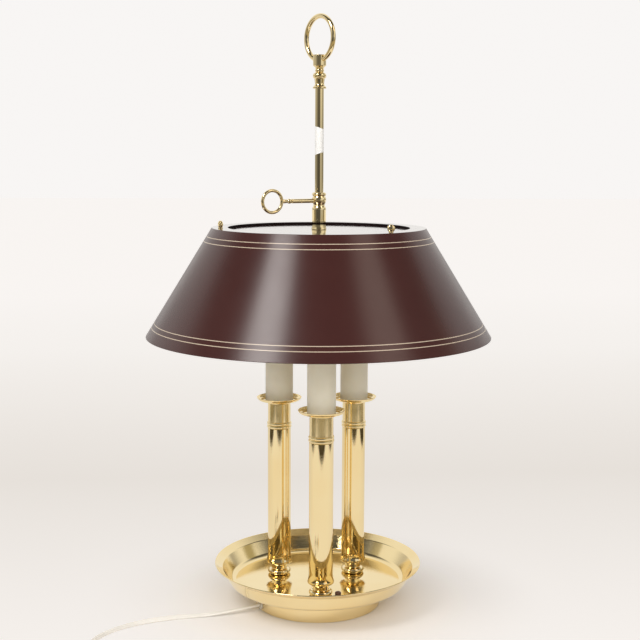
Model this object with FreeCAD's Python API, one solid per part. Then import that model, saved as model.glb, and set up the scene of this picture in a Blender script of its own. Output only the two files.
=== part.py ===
import FreeCAD, Part
import math
import os
from FreeCAD import Vector

# Bouillotte lamp: three candle columns in a deep tray, a centre pole, and a shade that slides on it.
# Millimetres. +Z is up, the origin is the middle of the felt the lamp stands on.
# The front column stands at -Y. Sizes that follow from others stand beside them.

# Clearances between pieces
running_gap = 0.08
slip_gap = 0.25
seat_gap = 0.15
solder_gap = 0.05
face_gap = 0.02

# Tray, spun from sheet
tray_wall = 1.2
tray_floor_z = 25.0
tray_flat_radius = 94.5
tray_cove_radius = 8.2
tray_side_angle = 60.0
tray_lip_rise = 18.2
tray_rim_width = 8.36
tray_rim_rise = 5.8
tray_under_z = tray_floor_z - tray_wall

# Foot band under the tray
foot_radius = 72.3
foot_wall = 1.2
foot_lift = 0.5
foot_flange_width = 10.3
foot_corner_radius = 2.6

# Felt
felt_edge_gap = 0.7
felt_thickness = 1.6

# Pole
pole_radius = 4.7625
pole_wall = 1.5625
pole_bottom_gap = 0.6
pole_foot_reach = 4.74
pole_foot_height = 9.0
pole_foot_edge_height = 1.5
pole_foot_top_wall = 1.6
pole_foot_hollow = 1.0
pole_nut_height = 4.5
pole_nut_reach = 2.24
pole_nut_recess_height = 7.0
pole_nut_room = 3.9

# Cast weight, its hub reaches up to the tray
weight_radius = 47.0
weight_thickness = 12.4
weight_hub_wall = 1.0
weight_edge_round = 1.5
weight_top_z = felt_thickness + weight_thickness

# Columns
column_count = 3
column_circle_radius = 50.1
first_column_angle = -90.0
column_lift = 14.0
column_length = 161.6
column_radius = 13.45
column_wall = 0.9
column_flare = 1.45
column_flare_height = 13.0
column_flare_hollow = 0.3
column_lip_round = 1.1
column_bead_radius = 13.3
column_bead_height = 6.6
column_waist_radius = 8.9
column_waist_chamfer = 0.6
column_waist_top_drop = 3.0
column_shoulder_out = 0.9
column_shoulder_drop = 1.1
spigot_height = 12.0
neck_step = 0.25
neck_length = 29.2
ring_bead_rise = 1.1
ring_bead_height = 3.7
ring_bead_count = 2
column_bottom_z = tray_floor_z + column_lift
column_top_z = column_bottom_z + column_length
neck_radius = column_radius - neck_step
neck_top_z = column_top_z + neck_length

# Candle covers and the cups they stand in
cover_radius = 15.875
cover_wall = 1.1
cover_length = 101.6
cup_wall = 0.9
cup_land = 3.625
cup_brim = 5.9
cup_rise = 3.5
cup_seat_rise = 3.6
cup_curve_out = 0.62
cup_curve_up = 0.36
cup_seat_spread = 0.667
cup_seat_hollow = 1.7
cup_floor_radius = cover_radius + cup_land
cup_radius = cup_floor_radius + cup_brim
cup_floor_z = neck_top_z + cup_seat_rise
cover_bottom_z = cup_floor_z + seat_gap
cover_top_z = cover_bottom_z + cover_length

# Lamp pipes and their nuts
pipe_radius = 4.85
pipe_bore_radius = 3.5
pipe_thread_below = 6.5
nut_height = 4.0
nut_reach = 2.15
nut_across_flats = 2 * (pipe_radius + nut_reach)

# Sockets in the covers
socket_length = 66.0
socket_bottom_below_cover_top = 70.0
socket_boss_wall = 3.15
socket_boss_height = 16.0
socket_taper_below = 3.0
socket_taper_above = 2.0
socket_floor_height = 6.0
socket_wall = 1.4
shell_wall = 0.4
shell_length = 26.0
shell_below_rim = 1.0
socket_bottom_z = cover_top_z - socket_bottom_below_cover_top
socket_top_z = socket_bottom_z + socket_length
socket_radius = cover_radius - cover_wall - slip_gap
shell_radius = socket_radius - socket_wall - slip_gap

# Bulbs
cap_length = 24.0
cap_wall = 0.4
cap_floor = 4.0
cap_above_socket = 1.5
cap_contact_radius = 2.4
cap_contact_height = 2.0
cap_insulator_radius = 5.5
cap_taper_height = 1.5
cap_taper_width = 1.0
globe_radius = 26.0
globe_above_socket = 1.0
globe_neck_gap = 0.595
globe_neck_depth = 16.0
glass_wall = 0.9
glass_flare_start = 0.5
glass_flare_end = 6.0
glass_flare_hollow = 0.7
cap_radius = shell_radius - shell_wall - running_gap
cap_bottom_z = socket_top_z - cap_length
globe_neck_radius = cap_radius - cap_wall - globe_neck_gap
globe_middle_z = socket_top_z + globe_above_socket + globe_radius

# Finial on the pole, radii beyond the pole's and heights from its foot
finial_bottom_z = 586.5
finial_flare_out = 2.65
finial_flare_top = 1.8
finial_waist_out = 0.45
finial_waist_height = 6.8
finial_bead_out = 2.55
finial_bead_low = 10.8
finial_bead_mid = 12.9
finial_bead_high = 16.2
finial_bead_step = 0.6
finial_neck_in = 0.3
finial_neck_low = 17.8
finial_neck_high = 21.2
finial_neck_bead = 0.5
finial_head_out = 2.5
finial_head_low = 24.6
finial_head_top = 36.7
finial_edge = 0.4
finial_socket_depth = 5.0
lift_ring_mean_radius = 23.65
lift_ring_wire_radius = 2.75
lift_ring_below_head_top = 5.7
lift_ring_angle = -56.0
finial_head_radius = pole_radius + finial_head_out
pole_top_z = finial_bottom_z + finial_socket_depth

# Shade, its flat flange and the plate that carries it
shade_wall = 0.8
shade_bottom_radius = 193.84
shade_bottom_z = 313.0
shade_top_radius = 119.5
shade_height = 121.0
shade_flange_width = 17.9
shade_hem_depth = 2.4
plate_edge_gap = 3.5
plate_thickness = 1.2
shade_top_z = shade_bottom_z + shade_height
shade_opening_radius = shade_top_radius - shade_flange_width
shade_slope = math.atan2(shade_bottom_radius - shade_top_radius, shade_height)
shade_step_in = shade_wall * math.cos(shade_slope)
shade_step_down = shade_wall * math.sin(shade_slope)
plate_radius = shade_top_radius - plate_edge_gap
plate_top_z = shade_top_z - shade_hem_depth
plate_bottom_z = plate_top_z - plate_thickness

# Studs that join flange and plate, and the thumb nuts on two of them
stud_inset = 8.5
first_stud_angle = -51.0
stud_count = 3
stud_radius = 1.5
stud_in_nut = 1.6
lug_radius = 5.0
lug_height = 2.0
lug_taper = 1.0
thumb_nut_radius = 4.2
thumb_nut_thickness = 5.4
thumb_nut_seat_radius = 2.6
thumb_nut_seat_height = 0.15
thumb_nut_edge_round = 0.7
thumb_nut_turns = (86.0, 15.0)
stud_circle_radius = shade_top_radius - stud_inset

# Collar that slides on the pole and carries the shade
collar_wall = 3.06
collar_height = 41.2
collar_bead_height = 3.9
collar_bead_in = 0.9
collar_drum_height = 9.0
collar_drum_round = 2.2
collar_groove_depth = 1.2
collar_groove_height = 2.2
collar_lip = 0.5
collar_shoulder_round = 2.4
collar_waist_in = 0.2
collar_foot_out = 0.5
collar_foot_edge = 0.5
collar_foot_height = 6.0
collar_foot_hollow = 0.15
collar_stem_wall = 1.76
collar_stem_length = 8.0
collar_nut_height = 4.0
collar_nut_wall = 3.4
collar_nut_chamfer = 0.8
collar_bore = pole_radius + running_gap
collar_radius = collar_bore + collar_wall
collar_stem_radius = collar_bore + collar_stem_wall
collar_bottom_z = plate_top_z + seat_gap
collar_top_z = collar_bottom_z + collar_height

# Key that locks the collar, distances along it from the pole's axis
key_angle = -153.0
key_above_collar_foot = 32.0
key_shank_radius = 2.4
key_thread_radius = 2.0
key_tip_gap = 0.3
key_tip_chamfer = 0.5
key_shank_end = 36.2
key_neck_length = 1.2
key_neck_radius = 1.5
key_shoulder_radius = 2.0
key_bead_radius = 2.75
key_bead_length = 4.2
key_waist_radius = 1.7
key_head_radius = 2.2
key_end_radius = 1.9
key_end = 47.6
key_ring_middle = 59.6
key_ring_mean_radius = 11.95
key_ring_wire_radius = 1.8
key_z = collar_bottom_z + key_above_collar_foot

# Switch in the tray floor
switch_x = 19.0
switch_y = -56.5
switch_can_radius = 8.5
switch_can_height = 15.0
switch_can_chamfer = 0.8
switch_bush_radius = 3.4
switch_bush_above = 1.8
switch_shaft_radius = 1.4
switch_shaft_well = 3.0
switch_nut_height = 1.4
switch_nut_reach = 0.8
knob_radius = 3.45
knob_height = 3.9
knob_dome_height = 1.4
knob_groove_count = 12
knob_groove_radius = 0.4
switch_place = Vector(switch_x, switch_y, 0)
switch_body_top_z = tray_under_z - face_gap
switch_top_z = tray_floor_z + switch_bush_above
switch_well_z = switch_body_top_z - switch_shaft_well

# Wire connectors on the weight
connector_count = 2
connector_spacing = 16.0
connector_radius = 4.2
connector_tip_radius = 2.4
connector_length = 19.0
connector_middle_y = 30.0
connector_lift = 0.05

# Cord and bushing
cord_diameter = 5.4
cord_exit_angle = -157.0
cord_floor_gap = 0.05
bushing_bore_gap = 0.12
bushing_wall = 1.28
bushing_flange_width = 1.3
bushing_flange_thickness = 1.4
bushing_above_felt = 0.9
bushing_bore_radius = cord_diameter / 2 + bushing_bore_gap
bushing_neck_radius = bushing_bore_radius + bushing_wall
bushing_flange_radius = bushing_neck_radius + bushing_flange_width
cord_lie_z = cord_diameter / 2 + cord_floor_gap
cord_exit_z = felt_thickness + bushing_neck_radius + bushing_above_felt

# The put-away length, two layers of loops
coil_middle_x = -214.0
coil_middle_y = -196.0
coil_outer_radius = 42.3
coil_turn_gap = 0.7
coil_layer_gap = 0.5
coil_turns_in = 3.375
coil_climb_turns = 0.5
coil_turns_out = 3.375
coil_start_angle = 180.0
coil_steps_per_turn = 2
coil_pitch = cord_diameter + coil_turn_gap
coil_layer_rise = cord_diameter + coil_layer_gap
coil_turns = coil_turns_in + coil_climb_turns + coil_turns_out

# Plug
plug_length = 30.0
plug_width = 23.0
plug_thickness = 16.6
plug_edge_round = 3.2
plug_lift = 0.35
plug_run_from_coil = 22.0
plug_run_to_face = 24.0
plug_angle = -32.0
plug_sleeve_length = 22.0
plug_sleeve_end_wall = 1.2
plug_sleeve_root_wall = 2.9
blade_spacing = 12.7
blade_width = 6.35
blade_thickness = 1.5
blade_length = 17.0
blade_root = 4.0
blade_tip_round = 0.3

UP = Vector(0, 0, 1)
TOP = Vector(0, 0, 0)


def across(angle, radius, z=0.0):
    """The point at this angle and distance from the pole."""
    turn = math.radians(angle)
    return Vector(radius * math.cos(turn), radius * math.sin(turn), z)


def path(steps):
    """A wire in the XZ plane. (r, z) is a straight step, (rm, zm, r, z) an arc that passes (rm, zm)."""
    edges = []
    here = None
    for step in steps:
        there = Vector(step[-2], 0, step[-1])
        if here is not None and len(step) == 2:
            edges.append(Part.LineSegment(here, there).toShape())
        elif here is not None:
            edges.append(Part.Arc(here, Vector(step[0], 0, step[1]), there).toShape())
        here = there
    return Part.Wire(edges)


def turned(steps):
    """A piece turned on a lathe from its closed half outline."""
    face = Part.Face(path(steps + [steps[0][-2:]]))
    return face.revolve(TOP, UP, 360)


def spun(steps, wall):
    """Sheet metal spun to an open half outline. A positive wall grows to the right of the path."""
    face = path(steps).makeOffset2D(wall, 2, True, True)
    return face.revolve(TOP, UP, 360)


def drum(radius, bottom, top, bore=0.0):
    """A plain cylinder or sleeve about the Z axis."""
    body = Part.makeCylinder(radius, top - bottom, Vector(0, 0, bottom))
    if bore > 0:
        body = body.cut(Part.makeCylinder(bore, top - bottom, Vector(0, 0, bottom)))
    return body


def hexagon(across_flats, bottom, top, bore):
    """A hexagonal nut about the Z axis."""
    corner = across_flats / math.sqrt(3)
    points = [across(60 * k, corner, bottom) for k in range(7)]
    body = Part.Face(Part.makePolygon(points)).extrude(Vector(0, 0, top - bottom))
    return body.cut(drum(bore, bottom, top))


def moved(shape, place):
    """A copy of the shape, moved by the vector."""
    copy = shape.copy()
    copy.translate(place)
    return copy


def laid(shape, angle, middle):
    """A copy whose +Z axis now points along this compass angle, with its base point at middle."""
    copy = shape.copy()
    copy.rotate(TOP, Vector(0, 1, 0), 90)
    copy.rotate(TOP, UP, angle)
    copy.translate(middle)
    return copy


def arc_mid(middle_r, middle_z, radius, angle):
    """A point on an arc in a half outline, for the path function."""
    turn = math.radians(angle)
    return (middle_r + radius * math.cos(turn), middle_z + radius * math.sin(turn))


def column_places():
    """Where the columns stand, front one first."""
    step = 360.0 / column_count
    return [across(first_column_angle + step * k, column_circle_radius) for k in range(column_count)]


def stud_places(z=0.0):
    """Where the shade's studs stand, the two that carry thumb nuts first."""
    step = 360.0 / stud_count
    return [across(first_stud_angle - step * k, stud_circle_radius, z) for k in range(stud_count)]


def drilled(shape, hole, places):
    """The shape with the hole cut at each place."""
    for place in places:
        shape = shape.cut(moved(hole, place))
    return shape


def base_dish():
    """Spun tray: flat floor, cove, steep side and sloping rim, with holes for the pipes and the switch."""
    cove_z = tray_floor_z + tray_cove_radius
    side_start_angle = tray_side_angle - 90
    side_start = arc_mid(tray_flat_radius, cove_z, tray_cove_radius, side_start_angle)
    cove_mid = arc_mid(tray_flat_radius, cove_z, tray_cove_radius, (side_start_angle - 90) / 2)
    lip_z = tray_floor_z + tray_lip_rise
    lip_radius = side_start[0] + (lip_z - side_start[1]) / math.tan(math.radians(tray_side_angle))
    dish = spun(
        [
            (pole_radius + running_gap, tray_floor_z),
            (tray_flat_radius, tray_floor_z),
            cove_mid + side_start,
            (lip_radius, lip_z),
            (lip_radius + tray_rim_width, lip_z + tray_rim_rise),
        ],
        -tray_wall,
    )
    dish = drilled(dish, drum(pipe_radius + slip_gap, tray_under_z, tray_floor_z), column_places())
    return drilled(dish, drum(switch_bush_radius + slip_gap, tray_under_z, tray_floor_z), [switch_place])


def base_foot():
    """Straight band with a rounded shoulder and an inward flange, cut clear of the nuts and the switch."""
    top = tray_under_z
    corner = foot_corner_radius
    corner_mid = arc_mid(foot_radius - corner, top - corner, corner, 45)
    band = spun(
        [
            (foot_radius, foot_lift),
            (foot_radius, top - corner),
            corner_mid + (foot_radius - corner, top),
            (foot_radius - foot_flange_width, top),
        ],
        foot_wall,
    )
    nut_room = drum(nut_across_flats / math.sqrt(3) + slip_gap, top - foot_wall, top)
    switch_room = drum(switch_can_radius + slip_gap, top - foot_wall, top)
    band = drilled(drilled(band, nut_room, column_places()), switch_room, [switch_place])
    hole = laid(drum(bushing_neck_radius + running_gap, foot_radius / 2, foot_radius * 2), cord_exit_angle, TOP)
    return drilled(band, hole, [Vector(0, 0, cord_exit_z)])


def base_weight():
    """Cast disc with a recess below for the pole's nut and a hub that reaches the tray."""
    low = felt_thickness
    edge = weight_edge_round
    edge_mid = arc_mid(weight_radius - edge, weight_top_z - edge, edge, 45)
    bore = pole_radius + slip_gap
    recess = (pole_radius + pole_nut_reach) * 2 / math.sqrt(3) + pole_nut_room
    recess_top = low + pole_nut_recess_height
    return turned(
        [
            (recess, low),
            (weight_radius, low),
            (weight_radius, weight_top_z - edge),
            edge_mid + (weight_radius - edge, weight_top_z),
            (recess + weight_hub_wall, weight_top_z),
            (recess + weight_hub_wall, tray_under_z),
            (bore, tray_under_z),
            (bore, recess_top),
            (recess, recess_top),
        ]
    )


def felt_pad():
    return drum(foot_radius - foot_wall - felt_edge_gap, 0, felt_thickness)


def cord_bushing():
    """Snap-in bushing: a sleeve through the band with a lip on each side."""
    inner = foot_radius - foot_wall - bushing_flange_thickness
    outer = foot_radius + bushing_flange_thickness
    bore = bushing_bore_radius
    chamfer = bushing_flange_thickness / 2
    sleeve = turned(
        [
            (bore, inner),
            (bushing_neck_radius + chamfer, inner),
            (bushing_neck_radius, inner + bushing_flange_thickness - seat_gap),
            (bushing_neck_radius, foot_radius + slip_gap),
            (bushing_flange_radius, foot_radius + slip_gap),
            (bushing_flange_radius - chamfer, outer),
            (bore, outer),
        ]
    )
    return laid(sleeve, cord_exit_angle, Vector(0, 0, cord_exit_z))


def column_foot():
    """Turned foot: a half round bead on the tray, a waist, and a spigot inside the tube."""
    bore = pipe_radius + slip_gap
    bead_mid_z = tray_floor_z + column_bead_height / 2
    bead_top = tray_floor_z + column_bead_height
    bead_edge = column_bead_radius - column_bead_height / 2
    tube_bore = column_radius - column_wall
    spigot = tube_bore - running_gap
    shoulder_mid = (column_waist_radius + column_shoulder_out, column_bottom_z - column_shoulder_drop)
    return turned(
        [
            (bore, tray_floor_z),
            (bead_edge, tray_floor_z),
            (column_bead_radius, bead_mid_z, bead_edge, bead_top),
            (column_waist_radius, bead_top + column_waist_chamfer),
            (column_waist_radius, column_bottom_z - column_waist_top_drop),
            shoulder_mid + (spigot, column_bottom_z),
            (spigot, column_bottom_z + spigot_height),
            (bore, column_bottom_z + spigot_height),
        ]
    )


def column_tube():
    """Drawn tube whose foot flares out to a rounded lip."""
    lip = column_radius + column_flare
    bore = column_radius - column_wall
    flare_top = column_bottom_z + column_flare_height
    edge = column_lip_round
    edge_mid = arc_mid(lip - edge, column_bottom_z + edge, edge, -45)
    swell = (column_radius + lip) / 2 - column_flare_hollow
    return turned(
        [
            (bore, column_bottom_z),
            (lip - edge, column_bottom_z),
            edge_mid + (lip, column_bottom_z + edge),
            (lip, column_bottom_z + 2 * edge),
            (swell, column_bottom_z + column_flare_height / 2, column_radius, flare_top),
            (column_radius, column_top_z),
            (bore, column_top_z),
        ]
    )


def column_neck():
    """Turned sleeve on the tube, with ring beads below and a plain neck above."""
    bore = neck_radius - column_wall
    bead = neck_radius + ring_bead_rise
    steps = [(bore, column_top_z), (neck_radius, column_top_z)]
    for k in range(ring_bead_count):
        low = column_top_z + k * ring_bead_height
        steps.append((bead, low + ring_bead_height / 2, neck_radius, low + ring_bead_height))
    steps.append((neck_radius, neck_top_z))
    steps.append((bore, neck_top_z))
    return turned(steps)


def candle_cup():
    """Spun drip pan with a turned-up rim. It sits on the neck and the pipe passes through it."""
    bore = pipe_radius + slip_gap
    curve_mid = (cup_floor_radius + cup_brim * cup_curve_out, cup_floor_z + cup_rise * cup_curve_up)
    pan = spun(
        [
            (bore, cup_floor_z),
            (cup_floor_radius, cup_floor_z),
            curve_mid + (cup_radius, cup_floor_z + cup_rise),
        ],
        -cup_wall,
    )
    seat_top = cup_floor_z - cup_wall
    seat_radius = neck_radius + (cup_floor_radius - neck_radius) * cup_seat_spread
    boss = turned(
        [
            (bore, neck_top_z),
            (neck_radius, neck_top_z),
            (neck_radius + cup_wall, neck_top_z + cup_seat_hollow, seat_radius, seat_top),
            (bore, seat_top),
        ]
    )
    return pan.fuse(boss).removeSplitter()


def candle_cover():
    return drum(cover_radius, cover_bottom_z, cover_top_z, cover_radius - cover_wall)


def column_pipe():
    """Threaded lamp pipe from under the tray to the socket."""
    return drum(pipe_radius, tray_under_z - pipe_thread_below, socket_bottom_z, pipe_bore_radius)


def column_nuts():
    top = tray_under_z - face_gap
    nut = hexagon(nut_across_flats, top - nut_height, top, pipe_radius + running_gap)
    return Part.makeCompound([moved(nut, place) for place in column_places()])


def socket_body():
    """Moulded socket: a boss on the pipe and an open cup for the screw shell."""
    boss_radius = pipe_radius + socket_boss_wall
    bore = pipe_radius + running_gap
    floor = socket_bottom_z + socket_floor_height
    inner = socket_radius - socket_wall
    return turned(
        [
            (bore, socket_bottom_z - socket_boss_height),
            (boss_radius, socket_bottom_z - socket_boss_height),
            (boss_radius, socket_bottom_z - socket_taper_below),
            (socket_radius, socket_bottom_z + socket_taper_above),
            (socket_radius, socket_top_z),
            (inner, socket_top_z),
            (inner, floor),
            (pipe_bore_radius, floor),
            (pipe_bore_radius, socket_bottom_z + seat_gap),
            (bore, socket_bottom_z + seat_gap),
        ]
    )


def socket_shell():
    low = socket_top_z - shell_length
    return drum(shell_radius, low, socket_top_z - shell_below_rim, shell_radius - shell_wall)


def bulb_cap():
    """Screw cap with its centre contact."""
    inner = cap_radius - cap_wall
    top = socket_top_z + cap_above_socket
    return turned(
        [
            (0, cap_bottom_z - cap_contact_height),
            (cap_contact_radius, cap_bottom_z - cap_contact_height),
            (cap_insulator_radius, cap_bottom_z),
            (cap_radius - cap_taper_width, cap_bottom_z + cap_taper_height),
            (cap_radius, cap_bottom_z + 2 * cap_taper_height),
            (cap_radius, top),
            (inner, top),
            (inner, cap_bottom_z + cap_floor),
            (0, cap_bottom_z + cap_floor),
        ]
    )


def bulb_glass():
    """Blown globe whose neck stands in the cap."""
    neck = globe_neck_radius
    inner_neck = neck - glass_wall
    neck_low = socket_top_z - globe_neck_depth
    flare_low = socket_top_z + glass_flare_start
    flare_high = socket_top_z + glass_flare_end
    flare_mid = (flare_low * 2 + flare_high) / 3
    join_angle = math.degrees(math.asin((flare_high - globe_middle_z) / globe_radius))
    side_angle = (join_angle + 90) / 2
    inner_radius = globe_radius - glass_wall
    inner_side = arc_mid(0, globe_middle_z, inner_radius, side_angle)
    return turned(
        [
            (inner_neck, neck_low),
            (neck, neck_low),
            (neck, flare_low),
            (neck + glass_flare_hollow, flare_mid) + arc_mid(0, globe_middle_z, globe_radius, join_angle),
            arc_mid(0, globe_middle_z, globe_radius, side_angle) + (0, globe_middle_z + globe_radius),
            (0, globe_middle_z + inner_radius),
            inner_side + arc_mid(0, globe_middle_z, inner_radius, join_angle),
            (inner_neck + glass_flare_hollow, flare_mid, inner_neck, flare_low),
        ]
    )


def pole():
    return drum(pole_radius, felt_thickness + pole_bottom_gap, pole_top_z, pole_radius - pole_wall)


def pole_foot():
    """Turned ring round the pole on the tray floor."""
    bore = pole_radius + running_gap
    outer = pole_radius + pole_foot_reach
    low = tray_floor_z
    high = low + pole_foot_height
    neck = bore + pole_foot_top_wall
    hollow_mid = (outer - pole_foot_hollow, (low + high) / 2)
    return turned(
        [
            (bore, low),
            (outer, low),
            (outer, low + pole_foot_edge_height),
            hollow_mid + (neck, high - pole_foot_hollow),
            (neck, high),
            (bore, high),
        ]
    )


def pole_nut():
    top = felt_thickness + pole_nut_recess_height - face_gap
    return hexagon(2 * (pole_radius + pole_nut_reach), top - pole_nut_height, top, pole_radius + running_gap)


def finial():
    """Turned finial: flared foot, waist, bead, neck and a drum head that the ring passes through."""
    bore = pole_radius + running_gap
    flare = pole_radius + finial_flare_out
    waist = pole_radius + finial_waist_out
    bead = pole_radius + finial_bead_out
    bead_edge = bead - finial_bead_step
    neck = pole_radius - finial_neck_in
    head = finial_head_radius
    seat_top = finial_socket_depth + slip_gap
    steps = [
        (bore, 0),
        (flare - finial_edge, 0),
        (flare, finial_edge),
        (flare, finial_flare_top),
        (waist + finial_edge, finial_waist_height / 2 + finial_edge, waist, finial_waist_height),
        (waist + finial_edge, finial_bead_low),
        (bead_edge - finial_bead_step / 2, finial_bead_low + finial_edge),
        (bead, finial_bead_mid, bead_edge, finial_bead_high),
        (bead_edge - finial_edge, finial_bead_high + finial_edge),
        (neck, finial_neck_low),
        (neck, finial_neck_low + finial_edge),
        (neck + finial_neck_bead, (finial_neck_low + finial_neck_high) / 2 + finial_edge / 2, neck, finial_neck_high),
        (neck + finial_edge, (finial_neck_high + finial_head_low) / 2),
        (head - finial_edge, finial_head_low),
        (head, finial_head_low + finial_edge),
        (head, finial_head_top - finial_edge),
        (head - finial_edge, finial_head_top),
        (0, finial_head_top),
        (0, seat_top),
        (bore, seat_top),
    ]
    return moved(turned(steps), Vector(0, 0, finial_bottom_z)).cut(lift_ring(running_gap))


def lift_ring(growth=0.0):
    """The fixed ring through the finial's head. Growth thickens it, to cut its room."""
    middle_z = finial_bottom_z + finial_head_top - lift_ring_below_head_top + lift_ring_mean_radius
    axis = across(lift_ring_angle + 90, 1)
    return Part.makeTorus(lift_ring_mean_radius, lift_ring_wire_radius + growth, Vector(0, 0, middle_z), axis)


def shade_cone():
    """Tole shade: one straight cone of sheet, cut square at both edges."""
    return turned(
        [
            (shade_bottom_radius, shade_bottom_z),
            (shade_top_radius, shade_top_z),
            (shade_top_radius - shade_step_in, shade_top_z - shade_step_down),
            (shade_bottom_radius - shade_step_in, shade_bottom_z - shade_step_down),
        ]
    )


def shade_flange():
    """Flat ring soldered inside the cone's top edge, with a hem turned down on the plate."""
    outer = shade_top_radius - shade_step_in - solder_gap
    ring = spun(
        [
            (outer, shade_top_z),
            (shade_opening_radius, shade_top_z),
            (shade_opening_radius, plate_top_z),
        ],
        shade_wall,
    )
    return drilled(ring, drum(stud_radius + slip_gap, plate_top_z, shade_top_z + shade_wall), stud_places())


def shade_plate():
    """Flat plate under the flange, which turns round the collar's stem."""
    plate = drum(plate_radius, plate_bottom_z, plate_top_z, collar_stem_radius + running_gap)
    return drilled(plate, drum(stud_radius + running_gap, plate_bottom_z, plate_top_z), stud_places())


def shade_screws():
    """Studs with a low head under the plate and a shoulder under the flange. The back one ends flush."""
    flange_bottom = shade_top_z - shade_wall
    flush = shade_top_z - seat_gap
    heights = [shade_top_z + stud_in_nut] * len(thumb_nut_turns)
    heights += [flush] * (stud_count - len(thumb_nut_turns))
    studs = []
    for place, top in zip(stud_places(), heights):
        stud = turned(
            [
                (0, plate_bottom_z - lug_height),
                (lug_radius - lug_taper, plate_bottom_z - lug_height),
                (lug_radius, plate_bottom_z),
                (stud_radius, plate_bottom_z),
                (stud_radius, plate_top_z),
                (lug_radius, plate_top_z),
                (lug_radius, flange_bottom),
                (stud_radius, flange_bottom),
                (stud_radius, top),
                (0, top),
            ]
        )
        studs.append(moved(stud, place))
    return Part.makeCompound(studs)


def thumb_nut():
    """A small round nut on edge: a thick coin with a rounded rim on a low round seat."""
    half = thumb_nut_thickness / 2
    coin = drum(thumb_nut_radius, -half, half)
    coin = coin.makeFillet(thumb_nut_edge_round, coin.Edges)
    coin = laid(coin, 0, Vector(0, 0, thumb_nut_seat_height + thumb_nut_radius))
    seat = drum(thumb_nut_seat_radius, 0, thumb_nut_seat_height + 2 * thumb_nut_edge_round)
    bore = drum(stud_radius + running_gap, 0, stud_in_nut + slip_gap)
    return coin.fuse(seat).cut(bore)


def shade_nuts():
    """Thumb nuts on the two studs that show, each turned as it was left."""
    nuts = []
    for place, turn in zip(stud_places(shade_top_z), thumb_nut_turns):
        nut = thumb_nut()
        nut.rotate(TOP, UP, turn)
        nuts.append(moved(nut, place))
    return Part.makeCompound(nuts)


def shade_collar():
    """Turned sleeve: bead, drum, groove, long drum with a flared foot, and a threaded stem."""
    r = collar_radius
    bead_low = collar_top_z - collar_bead_height
    drum_low = bead_low - collar_drum_height
    groove_low = drum_low - collar_groove_height
    foot_high = collar_bottom_z + collar_foot_height
    neck = r - collar_bead_in
    body = r - collar_waist_in
    flare = r + collar_foot_out
    flare_mid = ((body + flare) / 2 - collar_foot_hollow, collar_bottom_z + collar_foot_height / 2)
    drum_mid = (r - collar_bead_in / 4, bead_low - collar_drum_round / 3)
    sleeve = turned(
        [
            (collar_bore, collar_bottom_z - collar_stem_length),
            (collar_stem_radius, collar_bottom_z - collar_stem_length),
            (collar_stem_radius, collar_bottom_z),
            (flare, collar_bottom_z),
            (flare, collar_bottom_z + collar_foot_edge),
            flare_mid + (body, foot_high),
            (body, groove_low - collar_shoulder_round),
            (body - collar_waist_in, groove_low - collar_shoulder_round / 2, r - collar_lip * 2, groove_low),
            (r - collar_groove_depth, (drum_low + groove_low) / 2, r - collar_lip, drum_low),
            (r, drum_low + collar_lip),
            (r, bead_low - collar_drum_round),
            drum_mid + (neck, bead_low),
            (r, bead_low + collar_bead_height / 2, neck, collar_top_z - collar_lip),
            (neck - collar_lip, collar_top_z),
            (collar_bore, collar_top_z),
        ]
    )
    hole = laid(drum(key_thread_radius + running_gap, 0, 2 * r), key_angle, Vector(0, 0, key_z))
    return sleeve.cut(hole)


def collar_nut():
    """Ring nut that holds the plate on the collar's stem."""
    top = plate_bottom_z - seat_gap
    low = top - collar_nut_height
    bore = collar_stem_radius + face_gap
    outer = collar_stem_radius + collar_nut_wall
    return turned(
        [
            (bore, low),
            (outer - collar_nut_chamfer, low),
            (outer, low + collar_nut_chamfer),
            (outer, top),
            (bore, top),
        ]
    )


def key_ring(growth=0.0):
    """The key's finger ring, upright at rest. Growth thickens it, to cut its seat."""
    middle = across(key_angle, key_ring_middle, key_z)
    axis = across(key_angle + 90, 1)
    return Part.makeTorus(key_ring_mean_radius, key_ring_wire_radius + growth, middle, axis)


def key_shank():
    """Turned shank: threaded tip, plain stem, neck, bead, and a head notched for the ring."""
    tip = pole_radius + key_tip_gap
    shoulder = collar_radius + slip_gap
    bead_end = key_shank_end + key_bead_length
    neck_mid = key_shank_end - key_neck_length / 2
    stem = turned(
        [
            (0, tip),
            (key_thread_radius - key_tip_chamfer, tip),
            (key_thread_radius, tip + key_tip_chamfer),
            (key_thread_radius, shoulder),
            (key_shank_radius, shoulder),
            (key_shank_radius, key_shank_end - key_neck_length),
            (key_neck_radius, neck_mid, key_shoulder_radius, key_shank_end),
            (key_bead_radius, (key_shank_end + bead_end) / 2, key_waist_radius, bead_end),
            (key_head_radius, (bead_end + key_end) / 2, key_end_radius, key_end),
            (0, key_end),
        ]
    )
    return laid(stem, key_angle, Vector(0, 0, key_z)).cut(key_ring(face_gap))


def switch_can():
    """Canopy switch under the tray floor, its bush stands through the hole."""
    top = switch_body_top_z
    low = top - switch_can_height
    well = switch_shaft_radius + running_gap
    body = turned(
        [
            (0, low),
            (switch_can_radius - switch_can_chamfer, low),
            (switch_can_radius, low + switch_can_chamfer),
            (switch_can_radius, top),
            (switch_bush_radius, top),
            (switch_bush_radius, switch_top_z),
            (well, switch_top_z),
            (well, switch_well_z),
            (0, switch_well_z),
        ]
    )
    return moved(body, switch_place)


def switch_nut():
    low = tray_floor_z + face_gap
    flats = 2 * (switch_bush_radius + switch_nut_reach)
    nut = hexagon(flats, low, low + switch_nut_height, switch_bush_radius + running_gap)
    return moved(nut, switch_place)


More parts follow.
